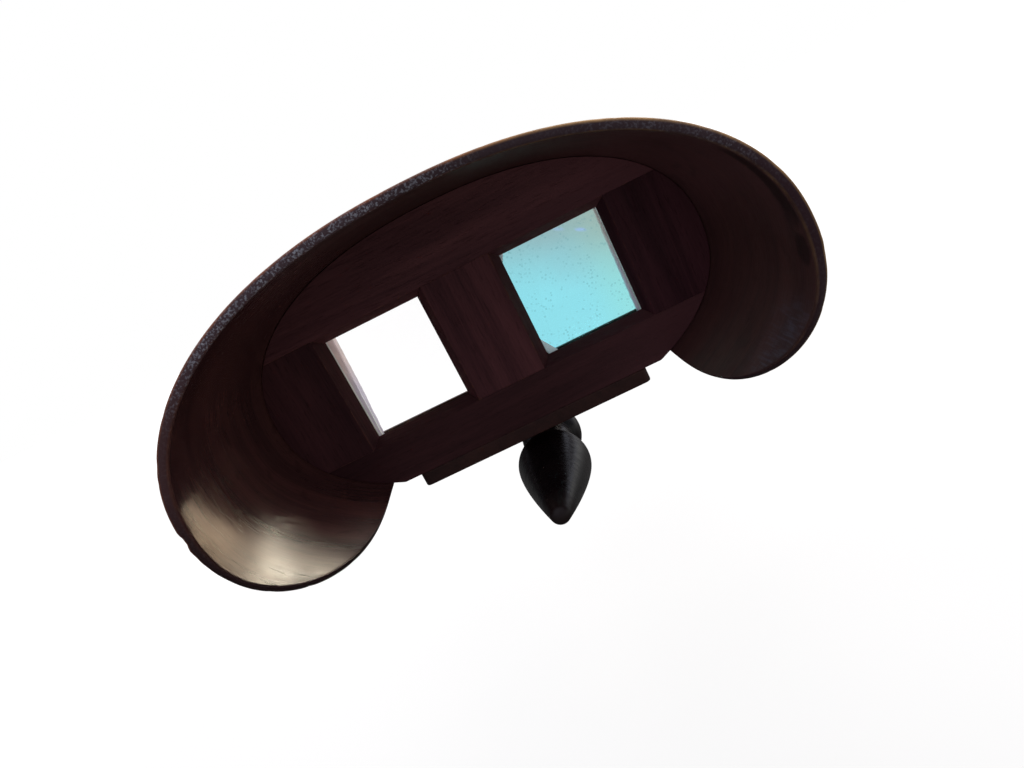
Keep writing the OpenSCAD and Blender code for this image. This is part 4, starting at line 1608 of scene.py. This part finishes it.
class Fasteners:
    """Nails and screws, set out by a Geometry Nodes tree of their kind."""

    HOOD_TURNS = (-39.2, -8, 18, 44, 68, 90, 112, 136, 162, 188, 219.2)
    EYE_X = 32
    PINS = ((-10.3, 21.85), (10.3, 21.85), (-10.3, -21.85), (10.3, -21.85), (-20.75, 0), (20.75, 0))
    BEAD_BACK = 14.7
    BOARD_COLUMNS = (-31.5, -10.5, 10.5, 31.5)
    BOARD_MIDDLE = 6.25
    SHAFT_COLUMNS = (-7.0, 7.0)
    SHAFT_ROWS = (35.755, 74.0)
    BASE_TOP, BASE_UNDER, BRACKET_UNDER = -35.8, -40.8, -50.3
    BRACKET_ROWS = (70.4, 81.6)
    SPRING_AT = (0.0, 108.8, -52.4)
    SLOT_SHARE = 0.15
    HEAD_GAP = 0.06
    BORE_ROOM = 0.15 * MM
    SEED = 7

    def __init__(self) -> None:
        """Lists every row of fasteners, with places in millimetres from the eye openings."""
        up, down, back = (0.0, 0.0, 1.0), (0.0, 0.0, -1.0), (0.0, 1.0, 0.0)
        hood = self.hood_places()
        pins = self.aimed(
            back,
            [
                (side * self.EYE_X + x, self.BEAD_BACK + self.HEAD_GAP, z)
                for side in (-1, 1)
                for x, z in self.PINS
            ],
        )
        boards = self.aimed(
            down, [(x, self.BOARD_MIDDLE, self.BASE_UNDER) for x in self.BOARD_COLUMNS]
        )
        shafts = self.aimed(
            up, [(x, y, self.BASE_TOP) for y in self.SHAFT_ROWS for x in self.SHAFT_COLUMNS]
        )
        brackets = self.aimed(down, [(0.0, y, self.BRACKET_UNDER) for y in self.BRACKET_ROWS])
        spring = self.aimed(back, [self.SPRING_AT])
        self.rows = (
            FastenerRow("hood_nails", "viewer", "dark_iron", IRON, NAIL, 10, hood),
            FastenerRow("bead_pins", "viewer", "brass", BRASS, NAIL, 6, pins),
            FastenerRow("board_screws", "viewer", "steel", STEEL, SCREW, 14, boards),
            FastenerRow("shaft_screws", "viewer", "steel", STEEL, SCREW, 11, shafts),
            FastenerRow("bracket_screws", "viewer", "steel", STEEL, SCREW, 8, brackets),
            FastenerRow("spring_screw", "card_carriage", "brass", BRASS, SMALL_SCREW, 4.4, spring),
        )
        self.trees = {Head.DOMED: self.nail_tree(), Head.SLOTTED: self.screw_tree()}

    @staticmethod
    def aimed(aim: Point, places: Sequence[Point]) -> tuple[Stand, ...]:
        """Gives the same aim to each place."""
        return tuple((place, aim) for place in places)

    def hood_places(self) -> tuple[Stand, ...]:
        """Stands the hood's nails on its outside, square to the oval.

        Returns:
            Each nail's place and aim.
        """
        hood = HoodShell()
        places = []
        for turn in np.radians(self.HOOD_TURNS):
            x, z = hood.oval(np.array(turn), hood.wall + self.HEAD_GAP)
            inner = hood.oval(np.array(turn), 0.0)
            slope = [
                math.copysign((abs(v) / half) ** (hood.fullness - 1) / half, v)
                for v, half in zip(inner, (hood.board_w / 2, hood.board_h / 2))
            ]
            size = math.hypot(*slope)
            aim = (slope[0] / size, 0.0, slope[1] / size)
            places.append(((float(x), hood.board_t / 2, float(z)), aim))
        return tuple(places)

    def bores(self) -> list[Bore]:
        """Gives the holes that the fasteners sit in.

        Returns:
            One hole for each fastener.
        """
        return [
            Bore(spot(*place), Vector(aim), row.gauge.seat() + self.BORE_ROOM)
            for row in self.rows
            for place, aim in row.places
        ]

    def build(self, shop: Workshop) -> None:
        """Makes each row as one plain mesh and puts it on its body.

        Args:
            shop: Makes the finishes and mounts the pieces.
        """
        for row in self.rows:
            mesh = bpy.data.meshes.new(f"{row.node}_places")
            mesh.from_pydata([tuple(spot(*p)) for p, _ in row.places], [], [])
            aims = np.array([a for _, a in row.places], np.float32)
            layer = mesh.attributes.new("aim", "FLOAT_VECTOR", "POINT")
            layer.data.foreach_set("vector", aims.ravel())
            gauge = row.gauge
            values = {
                "Head Radius": gauge.head_d / 2 * MM,
                "Head Height": gauge.head_h * MM,
                "Shank Radius": gauge.shank_d / 2 * MM,
                "Length": row.length * MM,
                "Slot": self.SLOT_SHARE * gauge.head_d * MM,
                "Seed": self.SEED,
                "Material": shop.finish(row.finish),
            }
            piece = grown(f"{row.node}_set", mesh, self.trees[gauge.head], values)
            shop.mount(piece, row.finish, row.body, [row.node])

    def nail_tree(self) -> bpy.types.NodeTree:
        """Builds the tree of a domed nail: a flattened dome and a pointed shank.

        Returns:
            The tree.
        """
        grow = GrowthTree("domed_nails")
        ball = grow.term(
            "GeometryNodeMeshUVSphere", None, {"Segments": 20, "Rings": 12, "Radius": 1.0}, "Mesh"
        )
        size = grow.vector(*map(grow.inlet, ("Head Radius", "Head Radius", "Head Height")))
        dome = grow.term("GeometryNodeTransform", None, {"Geometry": ball, "Scale": size})
        place = grow.term("GeometryNodeInputPosition")
        lowest = (-1.0, -1.0, 0.0)
        flat = grow.term("ShaderNodeVectorMath", {"operation": "MAXIMUM"}, {0: place, 1: lowest})
        dome = grow.term("GeometryNodeSetPosition", None, {"Geometry": dome, "Position": flat})
        shank = grow.shank(grow.inlet("Shank Radius"), grow.inlet("Length"), 0.3)
        return grow.scatter(grow.join(dome, shank))

    def screw_tree(self) -> bpy.types.NodeTree:
        """Builds the tree of a countersunk screw: a slotted cone and a shank.

        Returns:
            The tree.
        """
        grow = GrowthTree("slotted_screws")
        head = grow.term(
            "GeometryNodeMeshCone",
            None,
            {
                "Vertices": 40,
                "Radius Top": grow.inlet("Head Radius"),
                "Radius Bottom": grow.inlet("Shank Radius"),
                "Depth": grow.inlet("Head Height"),
            },
            "Mesh",
        )
        head = grow.lowered(head, grow.inlet("Head Height"))
        width = grow.inlet("Slot")
        size = grow.vector(grow.inlet("Head Radius") * 2.4, width, width * 2.0)
        bar = grow.term("GeometryNodeMeshCube", None, {"Size": size}, "Mesh")
        cut = grow.term(
            "GeometryNodeMeshBoolean",
            {"operation": "DIFFERENCE", "solver": "EXACT"},
            {"Mesh 1": head, "Mesh 2": [bar]},
        )
        shank = grow.shank(grow.inlet("Shank Radius"), grow.inlet("Length"), 0.9)
        return grow.scatter(grow.join(cut, shank))


@dataclass
class LensBeads:
    """The strips that hold the lenses from behind."""

    easing: float = 0.3 * MM

    def build(self, shop: Workshop, nails: Fasteners) -> None:
        """Makes four strips behind each lens.

        Args:
            shop: Makes the finishes and mounts the pieces.
            nails: The fasteners, whose holes stay sharp.
        """
        bores = nails.bores()
        for side in ("left", "right"):
            for kind in ("top", "bottom", "inner", "outer"):
                node = f"{side}_{kind}_bead"
                finish = INNER_RAIL_WOOD if kind in ("top", "bottom") else INNER_STILE_WOOD
                strip = eased(node, self.easing, bores)
                shop.mount(strip, finish, "viewer", [node])


@dataclass
class Carriage:
    """Base board and shaft, and the bar with its wires that slides along the shaft."""

    easing: float = 0.5 * MM
    thin_easing: float = 0.35 * MM
    spring_easing: float = 0.12 * MM
    stud_y: float = 249.0
    stud_foot: float = -40.8
    stud_stem_r: float = 1.5 * MM
    wire_r: float = 1.0
    wire_x: float = 82.5
    wire_spread: float = 8.0
    wire_low: float = -43.25
    wire_top: float = 4.75
    card_y: float = 100.0
    wire_y: float = 2.3

    def build(self, shop: Workshop, nails: Fasteners) -> None:
        """Makes the fixed wood first, then what slides.

        Args:
            shop: Makes the finishes and mounts the pieces.
            nails: The fasteners, whose holes stay sharp.
        """
        bores = nails.bores()
        for node, width, finish, slot, body in (
            ("base_board", self.easing, BASE_WOOD, "base_wood", "viewer"),
            ("shaft", self.easing, BASE_WOOD, "base_wood", "viewer"),
            ("card_bar", self.thin_easing, BAR_WOOD, "bar_wood", "card_carriage"),
            ("slide_spring", self.spring_easing, BRASS, "brass", "card_carriage"),
        ):
            shop.mount(eased(node, width, bores), finish, body, [node])
        self.stop_stud(shop)
        self.wires(shop)

    def stop_stud(self, shop: Workshop) -> None:
        """Turns the domed stud near the shaft's far end.

        Args:
            shop: Makes the finishes and mounts the pieces.
        """
        low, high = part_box("stop_stud")
        foot = spot(0, self.stud_y, self.stud_foot)
        head_r, head_h = (high.x - low.x) / 2, high.z - foot.z
        a = np.linspace(0, math.pi / 2, 14)
        dome = np.column_stack([head_r * np.cos(a) ** 0.8, head_h * (0.14 + 0.86 * np.sin(a))])
        end, stem_r = low.z - foot.z, self.stud_stem_r
        stem = np.array([[0, end], [stem_r, end], [stem_r, 0], [head_r, 0]])
        profile = np.vstack([stem, dome[:-1], [[0, head_h]]])
        piece = turned("stop_stud_turned", profile, Matrix.Translation(foot), 48)
        piece.data.set_sharp_from_angle(angle=SHARP)
        shop.mount(piece, BRASS, "viewer", ["stop_stud"])

    def wires(self, shop: Workshop) -> None:
        """Bends the four hairpin wires along their paths.

        Args:
            shop: Makes the finishes and mounts the pieces.
        """
        points: list[Vector] = []
        edges: list[tuple[int, int]] = []
        bow_r = self.wire_spread / 2
        bow_z = self.wire_top - self.wire_r - bow_r
        half_z, turns = (self.wire_low + bow_z) / 2, np.linspace(0, math.pi, 25)
        path = [(-bow_r, self.wire_low), (-bow_r, half_z)]
        path += [(-bow_r * math.cos(a), bow_z + bow_r * math.sin(a)) for a in turns]
        path += [(bow_r, half_z), (bow_r, self.wire_low)]
        for side in (-1, 1):
            for row in (-1, 1):
                start = len(points)
                y = self.card_y + row * self.wire_y
                points += [spot(side * self.wire_x + x, y, z) for x, z in path]
                edges += [(start + k, start + k + 1) for k in range(len(path) - 1)]
        mesh = bpy.data.meshes.new("wire_paths")
        mesh.from_pydata([tuple(p) for p in points], edges, [])
        values = {"Shank Radius": self.wire_r * MM, "Material": shop.finish(STEEL)}
        piece = grown("card_wires", mesh, self.wire_tree(), values)
        nodes = [f"{side}_{row}_wire" for side in ("left", "right") for row in ("front", "back")]
        shop.mount(piece, STEEL, "card_carriage", nodes)

    @staticmethod
    def wire_tree() -> bpy.types.NodeTree:
        """Builds the tree that draws round wire along a path of edges.

        Returns:
            The tree.
        """
        grow = GrowthTree("hairpin_wires")
        path = grow.term("GeometryNodeMeshToCurve", None, {"Mesh": grow.inlet("Geometry")})
        ring = grow.term(
            "GeometryNodeCurvePrimitiveCircle",
            None,
            {"Resolution": 16, "Radius": grow.inlet("Shank Radius")},
            "Curve",
        )
        wire = grow.term(
            "GeometryNodeCurveToMesh",
            None,
            {"Curve": path, "Profile Curve": ring, "Fill Caps": True},
        )
        return grow.close(wire)


@dataclass
class FoldingHandle:
    """The turned grip, its iron ferrule, and the bracket and pin that it folds on."""

    hinge_y: float = 74.0
    hinge_z: float = -64.4958
    tilt: float = 5.6
    grip_at: float = 13.0
    collar_l: float = 14.0
    collar_r: float = 12.3
    neck_r: float = 8.6
    waist_r: float = 7.2
    shoulder_l: float = 7.0
    bulb_at: float = 61.8
    bulb_r: float = 13.1
    taper_l: float = 51.7
    taper_power: float = 1.21
    tip_r: float = 3.2
    tip_bluntness: float = 0.85
    lean: float = 0.75
    iron_easing: float = 0.3 * MM
    pin_r: float = 2.0 * MM
    pin_room: float = 0.2 * MM
    pin_head: float = 1.2 * MM

    def build(self, shop: Workshop, nails: Fasteners) -> None:
        """Makes the swinging pieces, then the bracket and pin that stay.

        Args:
            shop: Makes the finishes and mounts the pieces.
            nails: The fasteners, whose holes stay sharp.
        """
        folded = Matrix.Rotation(math.radians(90 - self.tilt), 4, "X")
        axis = Matrix.Translation(spot(0, self.hinge_y, self.hinge_z)) @ folded
        leaning = axis @ Matrix.Rotation(math.radians(-self.lean), 4, "Y")
        grip = turned("handle_grip_turned", self.grip_profile() * MM, leaning, 120)
        shop.mount(grip, LACQUER, "folding_handle", ["handle_grip"])
        pin_bore = Bore(axis.translation, Vector((1, 0, 0)), self.pin_r + self.pin_room)
        ferrule = eased("handle_ferrule", self.iron_easing, [pin_bore])
        shop.mount(ferrule, IRON, "folding_handle", ["handle_ferrule"])
        bracket = eased("hinge_bracket", self.iron_easing, nails.bores() + [pin_bore])
        shop.mount(bracket, IRON, "viewer", ["hinge_bracket"])
        self.pin(shop)

    def grip_profile(self) -> np.ndarray:
        """Draws the grip as rows of radius and distance from the hinge, in millimetres.

        Returns:
            The rows, from the collar to the tip.
        """
        rise, collar_at = self.collar_r - self.neck_r, self.grip_at + self.collar_l / 2
        shoulder_at, collar_end = self.bulb_at - self.shoulder_l, self.grip_at + self.collar_l
        tip_at, tip_h = self.bulb_at + self.taper_l, self.tip_bluntness * self.tip_r
        slope = self.taper_power * (self.bulb_r - self.tip_r) / self.taper_l
        meet = math.atan(slope * self.tip_bluntness)
        tip_round = tip_h * (1 - math.sin(meet))
        a = np.linspace(0, math.pi, 28)
        rows = [np.array([[0.0, self.grip_at]])]
        collar = self.neck_r + rise * np.sin(a)
        rows.append(np.column_stack([collar, collar_at - self.collar_l / 2 * np.cos(a)]))
        f = np.linspace(0, 1, 20)[1:-1]
        waist = self.waist_r + (self.neck_r - self.waist_r) * (1 - f) ** 2
        rows.append(np.column_stack([waist, collar_end + (shoulder_at - collar_end) * f]))
        a = np.linspace(0, math.pi / 2, 18)
        swell = self.waist_r + (self.bulb_r - self.waist_r) * np.sin(a)
        rows.append(np.column_stack([swell, self.bulb_at - self.shoulder_l * np.cos(a)]))
        f = np.linspace(0, 1, 40)[1:]
        taper = self.tip_r + (self.bulb_r - self.tip_r) * (1 - f**self.taper_power)
        rows.append(np.column_stack([taper, self.bulb_at + (self.taper_l - tip_round) * f]))
        a = np.linspace(meet, math.pi / 2, 12)[1:-1]
        tip = self.tip_r * np.cos(a) / math.cos(meet)
        rows.append(np.column_stack([tip, tip_at - tip_h + tip_h * np.sin(a)]))
        rows.append(np.array([[0.0, tip_at]]))
        return np.vstack(rows)

    def pin(self, shop: Workshop) -> None:
        """Turns the hinge pin with two low riveted heads.

        Args:
            shop: Makes the finishes and mounts the pieces.
        """
        low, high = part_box("hinge_pin")
        half, head_r = (high.x - low.x) / 2, (high.z - low.z) / 2
        shoulder = half - self.pin_head
        a = np.linspace(0, math.pi / 2, 10)
        dome = np.column_stack([head_r * np.cos(a) ** 0.7, shoulder + self.pin_head * np.sin(a)])
        side = np.vstack([[[self.pin_r, shoulder]], dome[:-1], [[0, half]]])
        profile = np.vstack([side[::-1] * (1, -1), side])
        middle = (low + high) / 2
        place = Matrix.Translation(middle) @ Matrix.Rotation(math.radians(90), 4, "Y")
        piece = turned("hinge_pin_turned", profile, place, 40)
        piece.data.set_sharp_from_angle(angle=SHARP)
        shop.mount(piece, STEEL, "viewer", ["hinge_pin"])


@dataclass(frozen=True)
class Lamp:
    """One soft box, aimed at the part."""

    name: str
    place: Point
    aim: Point
    size: tuple[float, float]
    power: float
    colour: tuple[float, float, float] = (1.0, 1.0, 1.0)

    def build(self) -> None:
        """Hangs the lamp."""
        light = bpy.data.lights.new(self.name, "AREA")
        light.shape = "RECTANGLE"
        light.size, light.size_y = self.size
        light.energy = self.power
        light.color = self.colour
        lamp = bpy.data.objects.new(self.name, light)
        lamp.location = self.place
        ahead = Vector(self.aim) - Vector(self.place)
        lamp.rotation_euler = ahead.to_track_quat("-Z", "Y").to_euler()
        lamp.visible_camera = False
        lamp.visible_transmission = False
        bpy.context.scene.collection.objects.link(lamp)


@dataclass
class Studio:
    """A plain pale floor, soft light that comes mainly from behind, and the photograph's view."""

    lens: float = 27.07
    sensor: float = 36.0
    eye: Point = (23.27, -245.27, 43.94)
    ahead: Point = (-0.0913, 0.9627, -0.2546)
    upward: Point = (0.434, 0.2686, 0.8599)
    floor_half: float = 4.0
    floor_z: float = -0.108
    amber: Colour = (1.0, 0.81, 0.6, 1.0)
    warm: Colour = (1.0, 0.98, 0.86, 1.0)
    cool: Colour = (0.94, 0.96, 1.12, 1.0)
    matt: Colour = (0.05, 0.05, 0.05, 1.0)
    shaded: Colour = (0.2, 0.2, 0.2, 1.0)
    mirror_dim: float = 0.9
    patch_light: float = 2.6
    lamps: tuple[Lamp, ...] = (
        Lamp("window", (0.75, 0.9, 1.0), (-0.05, -0.1, 0.09), (1.0, 1.0), 17.0, (1.0, 0.9, 0.78)),
        Lamp("ceiling", (-0.2, 0.4, 1.3), (0.0, 0.05, 0.05), (0.9, 0.9), 7.0),
    )

    def build(self) -> None:
        """Sets up camera, floor, world and lamps."""
        scene = bpy.context.scene
        scene.view_settings.view_transform = "Standard"
        self.camera(scene)
        self.floor()
        self.world(scene)
        for lamp in self.lamps:
            lamp.build()

    def camera(self, scene: bpy.types.Scene) -> None:
        """Puts the camera where the photograph was taken from.

        Args:
            scene: The scene.
        """
        data = bpy.data.cameras.new("photo_view")
        data.sensor_width, data.lens = self.sensor, self.lens
        data.clip_start = 0.01
        back, up = -Vector(self.ahead).normalized(), Vector(self.upward).normalized()
        right = up.cross(back).normalized()
        up = back.cross(right)
        camera = bpy.data.objects.new("photo_view", data)
        facing = Matrix((right, up, back)).transposed().to_4x4()
        camera.matrix_world = Matrix.Translation(spot(*self.eye)) @ facing
        scene.collection.objects.link(camera)
        scene.camera = camera

    def floor(self) -> None:
        """Lays a white floor, which takes a soft shadow, low enough for the hanging handle."""
        half, z = self.floor_half, self.floor_z
        mesh = bpy.data.meshes.new("floor")
        corners = [(-half, -half, z), (half, -half, z), (half, half, z), (-half, half, z)]
        mesh.from_pydata(corners, [], [(0, 1, 2, 3)])
        paint = Paint("pale_floor")
        seen, through, mirrored = self.sight(paint)
        x, y, _ = paint.axes(paint.place())
        spread = x * x + y * y
        # What the camera sees: white, a little less near the part so that its shadow shows.
        white = 0.8 + spread.step(0.08, 0.3) * 0.07 + spread.step(0.6, 3.0) * 0.24
        # The bright patch that the left cheek mirrors, and the light that the floor sends up.
        patch = (x - y * 0.21).step(0.0, 0.07) * y.step(-0.09, -0.05) * through
        bounce = (1.0 - seen) * (x.step(0.1, 0.6) * 0.46 + y.step(-0.05, -0.5) * 0.15 + 0.02)
        bounce = bounce * (1.0 - mirrored * self.mirror_dim)
        strength = seen * white + bounce + patch * self.patch_light
        colour = paint.blend(patch, WHITE, self.amber)
        matt = paint.blend(seen, self.matt, self.shaded)
        plain = paint.body({"Base Color": matt, "Roughness": 0.9, "Specular IOR Level": 0.0})
        glow = paint.term("ShaderNodeEmission", None, {"Color": colour, "Strength": strength})
        shader = paint.term("ShaderNodeAddShader", None, {0: plain, 1: glow})
        mesh.materials.append(paint.done(shader))
        link("floor", mesh)

    @staticmethod
    def sight(paint: Wiring) -> tuple[Term, Term, Term]:
        """Tells the camera's own sight from light that passes the glass on its way to the part.

        Args:
            paint: The floor's or the world's tree.

        Returns:
            1 where the camera looks, straight or through glass; 1 where the part looks through
            glass; and 1 for the sharp mirror image in a polished lens.
        """
        path = paint.node("ShaderNodeLightPath").outputs
        names = ("Is Transmission Ray", "Diffuse Depth", "Glossy Depth", "Is Camera Ray")
        glass, bounces, gleams, camera = (Term(paint, path[name]) for name in names)
        mirrored = Term(paint, path["Is Singular Ray"]) * Term(paint, path["Is Reflection Ray"])
        off_part = (bounces + gleams).step(0.4, 0.6)
        return camera.atleast(glass * (1.0 - off_part)), glass * off_part, mirrored

    def world(self, scene: bpy.types.Scene) -> None:
        """Makes a white surround that lights the part from behind, the right and above.

        Args:
            scene: The scene.
        """
        world = bpy.data.worlds.new("studio")
        world.use_nodes = True
        paint = Wiring(world.node_tree)
        paint.tree.nodes.clear()
        seen, through, mirrored = self.sight(paint)
        right, behind, above = paint.axes(paint.term("ShaderNodeTexCoord", output="Generated"))
        # Soft light from behind on the right and from above, and less from the front.
        level = behind.step(-0.6, 0.9) * right.step(-0.3, 0.6) * 0.5 + above.step(0.0, 1.0) * 0.36
        level = level + behind.step(0.1, -0.6) * (0.21 + right.step(0.3, -0.7) * 0.13) + 0.02
        # The bright surroundings that the left cheek mirrors through its lens.
        glow = right.step(0.12, 0.3) * behind.step(0.2, 0.5) * above.step(0.595, 0.49)
        glow = glow * (behind - right).step(0.04, 0.18) * (2.7 + above.step(0.2, 0.46) * 10.0)
        level = level * (1.0 - mirrored * self.mirror_dim) + through * glow
        sunny = paint.blend(above.step(0.0, 0.44), self.amber, self.warm)
        colour = paint.blend(seen, paint.blend(through, self.cool, sunny), WHITE)
        light = paint.term(
            "ShaderNodeBackground", None, {"Color": colour, "Strength": level.atleast(seen)}
        )
        paint.node("ShaderNodeOutputWorld", None, {"Surface": light})
        scene.world = world


def main() -> None:
    """Builds and dresses every sub-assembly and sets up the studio."""
    logging.basicConfig(level=logging.INFO, format="%(name)s: %(message)s")
    shop = Workshop()
    fasteners = Fasteners()
    Studio().build()
    HoodShell().build(shop)
    LensBoard().build(shop, fasteners)
    HalfLens(-1, Tint.CLEAR).build(shop)
    HalfLens(1, Tint.CYAN).build(shop)
    LensBeads().build(shop, fasteners)
    Carriage().build(shop, fasteners)
    FoldingHandle().build(shop, fasteners)
    fasteners.build(shop)


if __name__ == "__main__":
    main()
